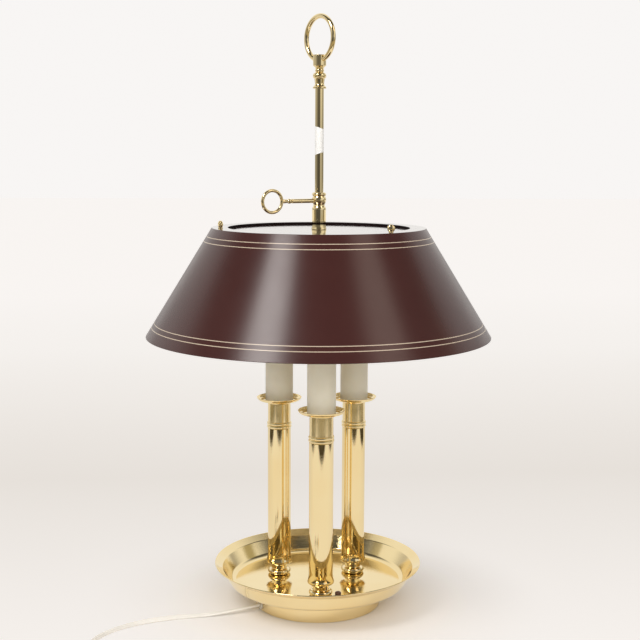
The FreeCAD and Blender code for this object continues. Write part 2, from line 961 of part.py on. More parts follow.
def switch_knob():
    """Domed knob with grooves cut down its side, on a shaft in the bush."""
    low = switch_top_z + seat_gap
    side_top = low + knob_height - knob_dome_height
    r = knob_radius
    ball = (r * r + knob_dome_height ** 2) / (2 * knob_dome_height)
    dome_start = math.degrees(math.asin((ball - knob_dome_height) / ball))
    dome_mid = arc_mid(0, low + knob_height - ball, ball, (dome_start + 90) / 2)
    body = turned(
        [
            (0, switch_well_z + seat_gap),
            (switch_shaft_radius, switch_well_z + seat_gap),
            (switch_shaft_radius, low),
            (r, low),
            (r, side_top),
            dome_mid + (0, low + knob_height),
        ]
    )
    groove = drum(knob_groove_radius, low - seat_gap, side_top - knob_groove_radius)
    places = [across(360.0 * k / knob_groove_count, r) for k in range(knob_groove_count)]
    return moved(drilled(body, groove, places), switch_place)


def wire_connectors():
    """Two wire connectors that lie on the weight."""
    cone = Part.makeCone(connector_radius, connector_tip_radius, connector_length)
    made = []
    for k in range(connector_count):
        x = (k - (connector_count - 1) / 2) * connector_spacing
        lie_z = weight_top_z + connector_radius + connector_lift
        made.append(laid(cone, 90, Vector(x, connector_middle_y - connector_length / 2, lie_z)))
    return Part.makeCompound(made)


def coil_point(turn):
    """The cord's middle line in the coil, after this many turns."""
    climb_start = coil_turns_in
    climb_end = coil_turns_in + coil_climb_turns
    inner = coil_outer_radius - coil_pitch * coil_turns_in
    if turn <= climb_start:
        radius = coil_outer_radius - coil_pitch * turn
        z = cord_lie_z
    elif turn <= climb_end:
        share = (turn - climb_start) / coil_climb_turns
        radius = inner + coil_pitch * coil_climb_turns * (share * share - share)
        z = cord_lie_z + coil_layer_rise * share * share * (3 - 2 * share)
    else:
        radius = inner + coil_pitch * (turn - climb_end)
        z = cord_lie_z + coil_layer_rise
    place = across(coil_start_angle + 360 * turn, radius, z)
    return place + Vector(coil_middle_x, coil_middle_y, 0)


def coil_heading(turn):
    """The cord's direction in the coil, after this many turns."""
    small = 0.0005
    return (coil_point(turn + small) - coil_point(turn - small)).normalize()


coil_start_heading = coil_heading(0)
coil_end_heading = coil_heading(coil_turns)
coil_face_in = coil_point(0) - coil_start_heading * cord_diameter
coil_face_out = coil_point(coil_turns) + coil_end_heading * cord_diameter


def biarc(start, start_heading, end, end_heading):
    """Two arcs that leave and arrive along the headings and meet smoothly."""
    span = end - start
    both = start_heading + end_heading
    a = 2 * (1 - start_heading.dot(end_heading))
    b = 2 * span.dot(both)
    c = -span.dot(span)
    reach = -c / b if abs(a) < 1e-9 else (-b + math.sqrt(b * b - 4 * a * c)) / (2 * a)
    first = start + start_heading * reach
    second = end - end_heading * reach
    meet = (first + second) / 2
    return [tangent_arc(start, start_heading, meet), tangent_arc(end, end_heading * -1, meet)]


def tangent_arc(start, heading, end):
    """The arc from start along heading to end."""
    chord = end - start
    across_chord = chord - heading * chord.dot(heading)
    if across_chord.Length < 1e-7:
        return Part.LineSegment(start, end).toShape()
    side = Vector(across_chord).normalize()
    radius = chord.dot(chord) / (2 * chord.dot(side))
    middle = start + side * radius
    halfway = (start + end) / 2 - middle
    mid = middle + halfway.normalize() * radius
    if (mid - start).dot(heading) < 0:
        mid = middle - halfway * radius
    return Part.Arc(start, mid, end).toShape()


def swept(edges, start, heading):
    """A round tube of the cord's diameter along the joined edges."""
    spine = Part.Wire(Part.__sortEdges__(edges))
    ring = Part.Wire(Part.makeCircle(cord_diameter / 2, start, heading))
    return spine.makePipeShell([ring], True, False)


def cord_coil():
    """The put-away length as one tube: two layers of loops with straight ends."""
    edges = [Part.LineSegment(coil_face_in, coil_point(0)).toShape()]
    steps = int(round(coil_turns * coil_steps_per_turn))
    turns = [coil_turns * k / steps for k in range(steps + 1)]
    for low, high in zip(turns, turns[1:]):
        edges += biarc(coil_point(low), coil_heading(low), coil_point(high), coil_heading(high))
    edges.append(Part.LineSegment(coil_point(coil_turns), coil_face_out).toShape())
    return swept(edges, coil_face_in, coil_start_heading)


def coil_gap():
    """The least gap of the coil's tube to itself, measured on points of its middle line."""
    count = 1400  # fine enough for a hundredth of a millimetre
    points = [coil_point(coil_turns * k / count) for k in range(count + 1)]
    skip = int(count / coil_turns / 3)
    least = 1e9
    for k in range(0, count + 1, 2):
        for m in range(k + skip, count + 1, 2):
            least = min(least, points[k].distanceToPoint(points[m]))
    return least - cord_diameter


cord_exit = across(cord_exit_angle, foot_radius + bushing_flange_thickness, cord_exit_z)

# From the bushing down to the table and round to the coil
cord_route = [
    cord_exit,
    Vector(-94.5, -40.1, 6.2),
    Vector(-126.0, -45.2, 3.6),
    Vector(-158.0, -48.8, cord_lie_z),
    Vector(-190.0, -58.5, cord_lie_z),
    Vector(-219.0, -75.0, cord_lie_z),
    Vector(-242.0, -99.0, cord_lie_z),
    Vector(-253.5, -129.0, cord_lie_z),
    coil_face_in - coil_start_heading * 29.0,
    coil_face_in,
]

# From the coil to the plug, which lies on its wide side
plug_corner = coil_face_out + coil_end_heading * plug_run_from_coil
plug_face = plug_corner + across(plug_angle, plug_run_to_face)
plug_face.z = plug_thickness / 2 + plug_lift
tail_route = [coil_face_out, plug_corner, plug_face]


def routed(points):
    """A tube along straight runs joined by tangent arcs. It prints its radii and its volume check."""
    edges = []
    radii = []
    here = points[0]
    length = 0.0
    for before, corner, after in zip(points, points[1:], points[2:]):
        come = (corner - before).normalize()
        go = (after - corner).normalize()
        half_turn = math.acos(max(-1.0, min(1.0, come.dot(go)))) / 2
        setback = 0.45 * min(before.distanceToPoint(corner), corner.distanceToPoint(after))
        radius = setback / math.tan(half_turn)
        arc_start = corner - come * setback
        arc_end = corner + go * setback
        toward = (go - come).normalize()
        mid = corner + toward * (radius / math.cos(half_turn) - radius)
        edges.append(Part.LineSegment(here, arc_start).toShape())
        edges.append(Part.Arc(arc_start, mid, arc_end).toShape())
        length += here.distanceToPoint(arc_start) + 2 * half_turn * radius
        radii.append(radius)
        here = arc_end
    edges.append(Part.LineSegment(here, points[-1]).toShape())
    length += here.distanceToPoint(points[-1])
    tube = swept(edges, points[0], (points[1] - points[0]).normalize())
    section = math.pi * cord_diameter ** 2 / 4
    print("tube length", round(length, 1), "radii", [round(r, 1) for r in radii])
    print("tube volume over section times length", round(tube.Volume / (section * length), 5))
    return tube


def cord_run():
    return routed(cord_route)


def cord_tail():
    return routed(tail_route)


def plug_body():
    """Moulded two-blade plug with a tapered sleeve, rear face at the sleeve's end."""
    front = plug_sleeve_length + plug_length
    block = Part.makeBox(
        plug_thickness, plug_width, plug_length, Vector(-plug_thickness / 2, -plug_width / 2, plug_sleeve_length)
    )
    block = block.makeFillet(plug_edge_round, block.Edges)
    sleeve_end = cord_diameter / 2 + plug_sleeve_end_wall
    sleeve_root = cord_diameter / 2 + plug_sleeve_root_wall
    sleeve = Part.makeCone(sleeve_end, sleeve_root, plug_sleeve_length + plug_edge_round)
    body = block.fuse(sleeve).removeSplitter()
    for side in (-1, 1):
        slot = Part.makeBox(
            blade_width + 2 * running_gap,
            blade_thickness + 2 * running_gap,
            blade_root,
            Vector(
                -blade_width / 2 - running_gap,
                side * blade_spacing / 2 - blade_thickness / 2 - running_gap,
                front - blade_root,
            ),
        )
        body = body.cut(slot)
    return laid(body, plug_angle, plug_face)


def plug_blades():
    """The plug's two flat blades, rounded at the tip."""
    front = plug_sleeve_length + plug_length
    made = []
    for side in (-1, 1):
        y = side * blade_spacing / 2 - blade_thickness / 2
        low = front - blade_root + face_gap
        blade = Part.makeBox(
            blade_width, blade_thickness, blade_root + blade_length, Vector(-blade_width / 2, y, low)
        )
        tip = [edge for edge in blade.Edges if is_tip_corner(edge, low + blade_root + blade_length)]
        blade = blade.makeFillet(blade_width * blade_tip_round, tip)
        made.append(laid(blade, plug_angle, plug_face))
    return Part.makeCompound(made)


def is_tip_corner(edge, tip_z):
    """True for the blade's short edges across its thickness at the tip."""
    box = edge.BoundBox
    return abs(box.ZMin - tip_z) < 0.01 and abs(box.ZMax - tip_z) < 0.01 and box.YLength > 0.5


def save(name, shape):
    """Writes one named piece."""
    if not shape.isValid():
        print("invalid shape:", name)
    shape.exportStep("parts/" + name + ".step")


os.makedirs("parts", exist_ok=True)

single_pieces = {
    "base_dish": base_dish,
    "base_foot": base_foot,
    "base_weight": base_weight,
    "felt_pad": felt_pad,
    "cord_bushing": cord_bushing,
    "column_nuts": column_nuts,
    "pole": pole,
    "pole_foot": pole_foot,
    "pole_nut": pole_nut,
    "finial": finial,
    "finial_ring": lift_ring,
    "shade_cone": shade_cone,
    "shade_flange": shade_flange,
    "shade_plate": shade_plate,
    "shade_screws": shade_screws,
    "shade_nuts": shade_nuts,
    "shade_collar": shade_collar,
    "collar_nut": collar_nut,
    "key_shank": key_shank,
    "key_ring": key_ring,
    "switch_can": switch_can,
    "switch_nut": switch_nut,
    "switch_knob": switch_knob,
    "wire_connectors": wire_connectors,
    "cord_run": cord_run,
    "cord_coil": cord_coil,
    "cord_tail": cord_tail,
    "plug_body": plug_body,
    "plug_blades": plug_blades,
}

column_pieces = {
    "column_foot": column_foot,
    "column_tube": column_tube,
    "column_neck": column_neck,
    "candle_cup": candle_cup,
    "candle_cover": candle_cover,
    "column_pipe": column_pipe,
    "socket_body": socket_body,
    "socket_shell": socket_shell,
    "bulb_cap": bulb_cap,
    "bulb_glass": bulb_glass,
}

for name, make in single_pieces.items():
    save(name, make())

for name, make in column_pieces.items():
    piece = make()
    for number, place in enumerate(column_places(), 1):
        save(name + "_" + str(number), moved(piece, place))

print("coil least gap to itself", round(coil_gap(), 2))
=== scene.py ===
import math

import bmesh
import bpy
from mathutils import Matrix, Vector


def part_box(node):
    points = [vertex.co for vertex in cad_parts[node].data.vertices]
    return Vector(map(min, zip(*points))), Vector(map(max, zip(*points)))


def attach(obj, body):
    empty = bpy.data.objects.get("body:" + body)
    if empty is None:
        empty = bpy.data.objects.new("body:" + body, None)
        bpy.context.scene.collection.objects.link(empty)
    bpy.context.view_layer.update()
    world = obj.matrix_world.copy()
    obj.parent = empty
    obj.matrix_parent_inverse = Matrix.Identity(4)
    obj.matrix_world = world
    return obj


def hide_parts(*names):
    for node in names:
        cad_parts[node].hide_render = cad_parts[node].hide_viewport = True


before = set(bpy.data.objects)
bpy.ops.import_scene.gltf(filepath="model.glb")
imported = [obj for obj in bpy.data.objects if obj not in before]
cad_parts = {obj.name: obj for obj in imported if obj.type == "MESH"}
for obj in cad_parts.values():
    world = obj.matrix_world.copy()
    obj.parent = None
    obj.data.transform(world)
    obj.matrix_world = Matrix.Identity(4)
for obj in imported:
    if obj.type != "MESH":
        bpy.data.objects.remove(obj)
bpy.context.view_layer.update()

# Bouillotte lamp. Outlines are in millimetres, Blender objects in metres.
# +Z is up, the front column stands at -Y, and the origin is the middle of the felt.


# Felt and weight.
# A green felt disc is glued under a cast iron weight that keeps the tall lamp upright.
# Both are hidden by the foot band and show only from below.
MM = 0.001


def feed(socket, value):
    """Links an output to the socket, or gives it a value."""
    if isinstance(value, bpy.types.NodeSocket):
        socket.id_data.links.new(value, socket)
    elif socket.type == "RGBA":
        socket.default_value = (*value, 1)
    else:
        socket.default_value = value


def node(tree, kind, feeds=(), **settings):
    """Adds a node. Feeds are pairs of an input and its value or source. Returns its outputs."""
    made = tree.nodes.new(kind)
    for key, value in settings.items():
        setattr(made, key, value)
    for socket, value in feeds:
        feed(made.inputs[socket], value)
    return made.outputs


def maths(operation, *values):
    """The result of one Math node, in the tree that the values come from."""
    tree = next(value.id_data for value in values if isinstance(value, bpy.types.NodeSocket))
    return node(tree, "ShaderNodeMath", enumerate(values), operation=operation)[0]


def rescaled(value, low, high, to_low=0, to_high=1, kind="LINEAR"):
    """The value's place between low and high, spread over another range."""
    feeds = [("Value", value), ("From Min", low), ("From Max", high)]
    feeds += [("To Min", to_low), ("To Max", to_high)]
    return node(value.id_data, "ShaderNodeMapRange", feeds, interpolation_type=kind)["Result"]


def soft_noise(place, scale, low=0, high=1, detail=3.0):
    """A noise spread from low to high."""
    feeds = [("Vector", place), ("Scale", scale), ("Detail", detail)]
    noise = node(place.id_data, "ShaderNodeTexNoise", feeds)
    return rescaled(noise[0], 0.3, 0.7, low, high)


def blended(factor, first, second, kind="MIX"):
    """A colour between two, by the factor."""
    feeds = [(0, factor), (6, first), (7, second)]
    return node(factor.id_data, "ShaderNodeMix", feeds, data_type="RGBA", blend_type=kind)[2]


def finish(name, settings=()):
    """A new material. Returns it with its main shader's inputs and the piece's coordinates."""
    material = bpy.data.materials.new(name)
    material.use_nodes = True
    tree = material.node_tree
    shader = tree.nodes["Principled BSDF"].inputs
    for socket, value in settings:
        shader[socket].default_value = value
    return material, shader, node(tree, "ShaderNodeTexCoord")


def raised(shader, height, distance, strength):
    """Gives the shader a bump from a height."""
    feeds = [("Height", height), ("Distance", distance), ("Strength", strength)]
    feed(shader["Normal"], node(height.id_data, "ShaderNodeBump", feeds)["Normal"])


def mottled(name, tones, cloud, settings=(), rough=None, bump=None):
    """A material clouded between two tones.

    Cloud is (scale, detail), rough is (scale, low, high), bump is (scale, detail, distance, strength).
    """
    material, shader, coords = finish(name, settings)
    place = coords["Object"]
    clouds = soft_noise(place, cloud[0], detail=cloud[1])
    feed(shader["Base Color"], blended(clouds, *tones))
    if rough:
        feed(shader["Roughness"], soft_noise(place, *rough))
    if bump:
        raised(shader, soft_noise(place, bump[0], detail=bump[1]), *bump[2:])
    return material


def wear(material, *nodes):
    """Puts the material on CAD nodes that keep their own mesh."""
    for name in nodes:
        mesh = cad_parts[name].data
        mesh.materials.clear()
        mesh.materials.append(material)


def felt_finish():
    """Green felt: short fibres in clouds."""
    material, shader, coords = finish("green_felt", [("Roughness", 0.95), ("Sheen Weight", 0.4)])
    fibre = soft_noise(coords["Object"], 900, detail=6)
    blend = maths("MULTIPLY", fibre, soft_noise(coords["Object"], 40))
    feed(shader["Base Color"], blended(blend, (0.012, 0.045, 0.02), (0.03, 0.10, 0.05)))
    raised(shader, fibre, 0.0004, 0.8)
    return material


wear(felt_finish(), "felt_pad")
iron_tones = ((0.02, 0.02, 0.021), (0.06, 0.055, 0.05))
iron_settings = [("Metallic", 0.6), ("Roughness", 0.7)]
wear(mottled("cast_iron", iron_tones, (500, 5), iron_settings, bump=(500, 5, 0.0005, 0.7)), "base_weight")


# Foot band.
# A straight drum of brass sheet with a rounded shoulder, fixed under the tray by its
# inward flange. The lead leaves through a hole low on the left, with a small bushing.
BRASS = (0.93, 0.78, 0.46)
BRASS_WARM = (0.90, 0.72, 0.38)


def outline(steps, arc_steps=10):
    """Points of a half outline. (r, z) is a straight step, (rm, zm, r, z) an arc that passes (rm, zm)."""
    points = []
    for step in steps:
        end = Vector(step[-2:])
        if len(step) == 4:
            points += arc_points(points[-1], Vector(step[:2]), end, arc_steps)
        else:
            points.append(end)
    return points


def wall(inside, outside, low, high):
    """The outline steps of a plain round wall."""
    return [(inside, low), (outside, low), (outside, high), (inside, high)]


def arc_points(start, middle, end, count):
    """Points after start on the arc from start through middle to end."""
    a = middle - start
    b = end - start
    spread = 2 * (a.x * b.y - a.y * b.x)
    centre = start + Vector(
        (
            (b.y * a.length_squared - a.y * b.length_squared) / spread,
            (a.x * b.length_squared - b.x * a.length_squared) / spread,
        )
    )
    first = math.atan2(start.y - centre.y, start.x - centre.x)
    sweep = math.atan2(end.y - centre.y, end.x - centre.x) - first
    sweep = sweep % math.tau if spread > 0 else -(-sweep % math.tau)
    radius = (start - centre).length
    made = []
    for k in range(1, count + 1):
        angle = first + sweep * k / count
        made.append(centre + radius * Vector((math.cos(angle), math.sin(angle))))
    made[-1] = end
    return made


def eased(steps, ease, arc_steps=10, closed=True):
    """The steps' outline with rounded corners, because real edges are broken and catch the light."""
    points = outline(steps, arc_steps)
    made = []
    count = len(points)
    for k, here in enumerate(points):
        before = points[k - 1]
        after = points[(k + 1) % count]
        end = not closed and k in (0, count - 1)
        come = here - before
        go = after - here
        if end or come.length < 1e-6 or go.length < 1e-6 or come.angle(go) < math.radians(24):
            made.append(here)
            continue
        reach = min(ease, come.length * 0.4, go.length * 0.4)
        start = here - come.normalized() * reach
        stop = here + go.normalized() * reach
        for share in (0, 0.25, 0.5, 0.75, 1):
            made.append((1 - share) ** 2 * start + 2 * share * (1 - share) * here + share ** 2 * stop)
    return made


def held(points):
    """The outline with a point close to each end of a long step, so that shading stays straight between."""
    made = []
    hold = 0.3
    for k, here in enumerate(points):
        after = points[(k + 1) % len(points)]
        step = after - here
        made.append(here)
        if step.length > hold * 5 and max(here.x, after.x) > 1e-4:
            made.append(here + step.normalized() * hold)
            made.append(after - step.normalized() * hold)
    return made


def placed(name, data):
    """Links a mesh, a curve, a light or a camera to the scene as an object."""
    holder = bpy.data.objects.new(name, data)
    bpy.context.scene.collection.objects.link(holder)
    return holder


def shown(name, mesh, material):
    """Places a mesh with one material."""
    mesh.materials.clear()
    mesh.materials.append(material)
    return placed(name, mesh)


def made_mesh(work, name, smooth_angle):
    """The finished mesh of a worked one: smooth, but for edges sharper than the angle."""
    mesh = bpy.data.meshes.new(name)
    work.to_mesh(mesh)
    work.free()
    mesh.shade_smooth()
    mesh.set_sharp_from_angle(angle=math.radians(smooth_angle))
    return mesh


def turned(name, points, material, sides=128, place=None, smooth_angle=34):
    """A piece turned about the Z axis. Its outline closes on itself, or starts and ends on the axis.

    Its UV map counts turns round the axis and decimetres along the outline.
    """
    points = held(points)
    work = bmesh.new()
    around = work.loops.layers.uv.new("along")
    rings = []
    for point in points:
        if point.x < 1e-4:
            rings.append([work.verts.new((0, 0, point.y * MM))])
            continue
        ring = []
        for k in range(sides):
            angle = math.tau * k / sides
            across = point.x * MM
            ring.append(work.verts.new((across * math.cos(angle), across * math.sin(angle), point.y * MM)))
        rings.append(ring)
    on_axis = len(rings[0]) == 1 and len(rings[-1]) == 1
    travel = 0.0
    for k in range(len(rings) - 1 if on_axis else len(rings)):
        low, high = rings[k], rings[(k + 1) % len(rings)]
        step = (points[(k + 1) % len(rings)] - points[k]).length * MM
        for m in range(0 if len(low) == len(high) == 1 else sides):
            n = (m + 1) % sides
            corners = [(low, m, m, 0), (low, n, m + 1, 0), (high, n, m + 1, step), (high, m, m, step)]
            if len(low) == 1:
                corners.pop(1)
            elif len(high) == 1:
                corners.pop(2)
            face = work.faces.new([circle[spot % len(circle)] for circle, spot, _, _ in corners])
            for loop, (_, _, turn, rise) in zip(face.loops, corners):
                loop[around].uv = (turn / sides, (travel + rise) * 10)
        travel += step
    bmesh.ops.recalc_face_normals(work, faces=work.faces)
    if place is not None:
        work.transform(place)
    return shown(name, made_mesh(work, name, smooth_angle), material)


def span(node):
    """(half width, low z, high z) of a CAD node, in millimetres."""
    low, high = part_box(node)
    return (high.x - low.x) / 2 / MM, low.z / MM, high.z / MM


def middle_of(node):
    """The middle of a CAD node's box, in metres."""
    low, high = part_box(node)
    return (low + high) / 2


def stand_in(piece, body, slot, *nodes):
    """Lets a shaped piece ride with a body and stand for CAD nodes."""
    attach(piece, body)
    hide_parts(*nodes)


def brass_finish(name, wave=0.0, marks=0.02, satin=0.02):
    """Polished brass: fine turning marks along the piece, a faint unevenness and a few dull spots."""
    material, shader, coords = finish(name, [("Metallic", 1.0)])
    tree = material.node_tree
    place = coords["Object"]
    feed(shader["Base Color"], blended(soft_noise(place, 14), BRASS, BRASS_WARM))
    feed(shader["Roughness"], soft_noise(place, 55, satin, satin * 2 + 0.02, 4))
    along = node(tree, "ShaderNodeSeparateXYZ", [(0, coords["UV"])])["Y"]
    rings = node(tree, "ShaderNodeCombineXYZ", [("Y", along)])[0]
    turning = soft_noise(rings, 420, 0, marks, 2)
    waves = soft_noise(place, 22, 0, wave, 1)
    raised(shader, maths("ADD", turning, waves), 0.001, 0.12)
    return material


polished_brass = brass_finish("polished_brass")
spun_brass = brass_finish("spun_brass", wave=0.3, marks=0.08)

foot_radius, foot_low, foot_top = span("base_foot")
foot_wall = 1.2
foot_corner = 2.6
foot_flange = 10.3
corner_cut = foot_corner * (1 - math.sqrt(0.5))
foot_steps = [
    (foot_radius, foot_low),
    (foot_radius, foot_top - foot_corner),
    (foot_radius - corner_cut, foot_top - corner_cut, foot_radius - foot_corner, foot_top),
    (foot_radius - foot_flange, foot_top),
    (foot_radius - foot_flange, foot_top - foot_wall),
    (foot_radius - foot_corner, foot_top - foot_wall),
    (foot_radius - foot_wall, foot_top - foot_corner),
    (foot_radius - foot_wall, foot_low),
]
foot_band = turned("foot_band", eased(foot_steps, 0.35), spun_brass, 192)
stand_in(foot_band, "base", "brass", "base_foot")

ivory_tones = ((0.78, 0.73, 0.62), (0.70, 0.65, 0.53))
ivory_plastic = mottled("ivory_plastic", ivory_tones, (200, 3), rough=(300, 0.4, 0.5))
wear(ivory_plastic, "cord_bushing")


# Tray.
# Spun from one disc of brass: a flat floor, a rounded corner, a steep side, and a rim
# that slopes out. Everything above stands on it, and it shows its spinning marks.
tray_radius, tray_under, tray_rim = span("base_dish")
tray_wall = 1.2
tray_floor = tray_under + tray_wall
tray_flat = 94.5
tray_cove = 8.2
tray_side = math.radians(60)
tray_lip = 43.2


def cove_point(radius, angle):
    """A point of the tray's rounded corner, this far round from the floor."""
    return (tray_flat + radius * math.sin(angle), tray_floor + tray_cove - radius * math.cos(angle))


cove_end = cove_point(tray_cove, tray_side)
lip_r = cove_end[0] + (tray_lip - cove_end[1]) / math.tan(tray_side)
rim_slope = math.atan2(tray_rim - tray_lip, tray_radius - lip_r)
under_cove = tray_cove + tray_wall
rim_in_r = tray_radius - tray_wall * math.sin(rim_slope)
lip_under_r = lip_r + tray_wall * (math.tan((tray_side - rim_slope) / 2) + math.sin(rim_slope) / 2)
lip_under_z = tray_lip - tray_wall * 0.95
pole_hole = 4.9
tray_steps = [
    (pole_hole, tray_floor),
    (tray_flat, tray_floor),
    cove_point(tray_cove, tray_side / 2) + cove_end,
    (lip_r, tray_lip),
    (rim_in_r, tray_rim),
    (tray_radius, tray_rim - tray_wall * math.cos(rim_slope)),
    (lip_under_r, lip_under_z),
    cove_point(under_cove, tray_side),
    cove_point(under_cove, tray_side / 2) + (tray_flat, tray_under),
    (pole_hole, tray_under),
]
tray = turned("tray", eased(tray_steps, 0.5, 14), spun_brass, 256)
stand_in(tray, "base", "brass", "base_dish")


# Column feet, tubes and necks.
# Each column is a turned foot with a half round bead, a drawn tube whose foot flares to a
# rounded lip, and a sleeve with two ring beads, all held down by the pipe inside.
# One of each is turned on the pole's axis, and the tree below copies it to three places.
column_middle = middle_of("column_tube_1")
column_circle = column_middle.xy.length
first_angle = math.atan2(column_middle.y, column_middle.x)
column_count = 3


def new_tree(name, sockets):
    """A Geometry Nodes tree with named inputs, a geometry input first, and one geometry output."""
    tree = bpy.data.node_groups.new(name, "GeometryNodeTree")
    tree.interface.new_socket("Geometry", in_out="INPUT", socket_type="NodeSocketGeometry")
    for label, kind in sockets:
        tree.interface.new_socket(label, in_out="INPUT", socket_type="NodeSocket" + kind)
    tree.interface.new_socket("Geometry", in_out="OUTPUT", socket_type="NodeSocketGeometry")
    given = tree.nodes.new("NodeGroupInput")
    result = tree.nodes.new("NodeGroupOutput")
    return tree, given, result


def dressed(tree, given, result, geometry):
    """Ends a tree: realizes the copies and sets the material."""
    real = node(tree, "GeometryNodeRealizeInstances", [(0, geometry)])[0]
    feeds = [("Geometry", real), ("Material", given.outputs["Material"])]
    feed(result.inputs[0], node(tree, "GeometryNodeSetMaterial", feeds)[0])


def worked(piece, tree, values):
    """Runs the tree on the piece and leaves it a plain mesh."""
    modifier = piece.modifiers.new(tree.name, "NODES")
    modifier.node_group = tree
    for item in tree.interface.items_tree:
        if item.in_out == "INPUT" and item.name in values:
            modifier[item.identifier] = values[item.name]
    graph = bpy.context.evaluated_depsgraph_get()
    mesh = bpy.data.meshes.new_from_object(piece.evaluated_get(graph))
    piece.modifiers.clear()
    piece.data = mesh
    return piece


def ring_of_copies_tree():
    """Copies the piece onto evenly spaced places round the pole."""
    sockets = [("Count", "Int"), ("Circle Radius", "Float")]
    sockets += [("First Angle", "Float"), ("Material", "Material")]
    tree, given, result = new_tree("ring_of_copies", sockets)
    asked = given.outputs
    feeds = [("Vertices", asked["Count"]), ("Radius", asked["Circle Radius"])]
    circle = node(tree, "GeometryNodeMeshCircle", feeds)[0]
    angle = node(tree, "ShaderNodeCombineXYZ", [("Z", asked["First Angle"])])[0]
    spin = node(tree, "GeometryNodeTransform", [("Geometry", circle), ("Rotation", angle)])[0]
    feeds = [("Points", spin), ("Instance", asked["Geometry"])]
    dressed(tree, given, result, node(tree, "GeometryNodeInstanceOnPoints", feeds)[0])
    return tree


ring_of_copies = ring_of_copies_tree()


def on_each(stem):
    """The names of a column piece's three CAD nodes."""
    return [f"{stem}_{k + 1}" for k in range(column_count)]


def on_columns(piece, stem, slot):
    """Copies a column piece to the three places and lets it stand for its three CAD nodes."""
    values = {
        "Count": column_count,
        "Circle Radius": column_circle,
        "First Angle": first_angle,
        "Material": piece.data.materials[0],
    }
    worked(piece, ring_of_copies, values)
    stand_in(piece, "base", slot, *on_each(stem))
    return piece


foot_bead, foot_bottom, spigot_top = span("column_foot_1")
tube_lip, tube_bottom, tube_top = span("column_tube_1")
neck_bead, neck_bottom, neck_top = span("column_neck_1")
pipe_bore = 5.1
bead_height = 6.6
waist = 8.9
tube_radius = 13.45
tube_bore = tube_radius - 0.9
flare_height = 13.0
lip_round = 1.1
bead_top = foot_bottom + bead_height
column_foot_steps = [
    (pipe_bore, foot_bottom),
    (foot_bead - bead_height / 2, foot_bottom),
    (foot_bead, foot_bottom + bead_height / 2, foot_bead - bead_height / 2, bead_top),
    (waist + 0.3, bead_top + 0.2),
    (waist, bead_top + 0.6),
    (waist, tube_bottom - 3.0),
    (waist + 0.9, tube_bottom - 1.1, tube_bore - 0.1, tube_bottom),
    (tube_bore - 0.1, spigot_top),
    (pipe_bore, spigot_top),
]
column_feet = turned("column_feet", eased(column_foot_steps, 0.25), polished_brass, 96)
on_columns(column_feet, "column_foot", "brass")

swell = (tube_radius + tube_lip) / 2 - 0.3
lip_cut = lip_round * (1 - math.sqrt(0.5))
column_tube_steps = [
    (tube_bore, tube_bottom),
    (tube_lip - lip_round, tube_bottom),
    (tube_lip - lip_cut, tube_bottom + lip_cut, tube_lip, tube_bottom + lip_round),
    (tube_lip, tube_bottom + 2 * lip_round),
    (swell, tube_bottom + flare_height / 2, tube_radius, tube_bottom + flare_height),
    (tube_radius, tube_top),
    (tube_bore, tube_top),
]
column_tubes = turned("column_tubes", eased(column_tube_steps, 0.2), polished_brass, 128)
on_columns(column_tubes, "column_tube", "brass")

neck_radius = 13.2
neck_bore = neck_radius - 0.9
ring_height = 3.7
ring_count = 2
column_neck_steps = [(neck_bore, neck_bottom), (neck_radius, neck_bottom)]
for k in range(ring_count):
    low = neck_bottom + k * ring_height
    column_neck_steps.append((neck_bead, low + ring_height / 2, neck_radius, low + ring_height))
column_neck_steps += [(neck_radius, neck_top), (neck_bore, neck_top)]
satin_brass = brass_finish("satin_brass", satin=0.11)
column_necks = turned("column_necks", eased(column_neck_steps, 0.12, 12), satin_brass, 128)
on_columns(column_necks, "column_neck", "brass")


# Drip cups.
# A shallow spun pan with a turned-up rim on each column, thicker under the middle where
# it seats on the neck. The pipe passes through it.
cup_radius, cup_under, cup_rim = span("candle_cup_1")
cup_wall = 0.9
cup_floor = 233.4
cup_flat = 19.5
cup_curve_r = cup_flat + (cup_radius - cup_flat) * 0.6
cup_curve_z = cup_floor + (cup_rim - cup_floor) * 0.33
boss_top = cup_floor - cup_wall
cup_steps = [
    (pipe_bore, cup_floor),
    (cup_flat, cup_floor),
    (cup_curve_r, cup_curve_z, cup_radius - cup_wall, cup_rim),
    (cup_radius, cup_rim - 0.3),
    (cup_curve_r + 0.7, cup_curve_z - 0.85, cup_flat, boss_top),
    (neck_radius + 4.2, boss_top),
    (neck_radius + 1.0, cup_under + 1.7, neck_radius, cup_under),
    (pipe_bore, cup_under),
]
drip_cups = turned("drip_cups", eased(cup_steps, 0.25), polished_brass, 128)
on_columns(drip_cups, "candle_cup", "brass")


# Candle covers.
# Plain ivory sleeves of moulded plastic that stand in the cups and hide the sockets.
# Their surface is satin and a little uneven.
cover_tones = ((0.83, 0.78, 0.655), (0.79, 0.74, 0.61))
cover_settings = [
    ("Subsurface Weight", 0.15),
    ("Subsurface Radius", (0.004, 0.003, 0.002)),
    ("Subsurface Scale", 0.5),
]
cover_bump = (320, 3, 0.0002, 0.25)
candle_ivory = mottled("candle_ivory", cover_tones, (60, 3), cover_settings, (90, 0.42, 0.55), cover_bump)
cover_radius, cover_bottom, cover_top = span("candle_cover_1")
cover_wall = 1.1
cover_outline = eased(wall(cover_radius - cover_wall, cover_radius, cover_bottom, cover_top), 0.35)
covers = turned("candle_covers", cover_outline, candle_ivory, 128)
on_columns(covers, "candle_cover", "candle_ivory")


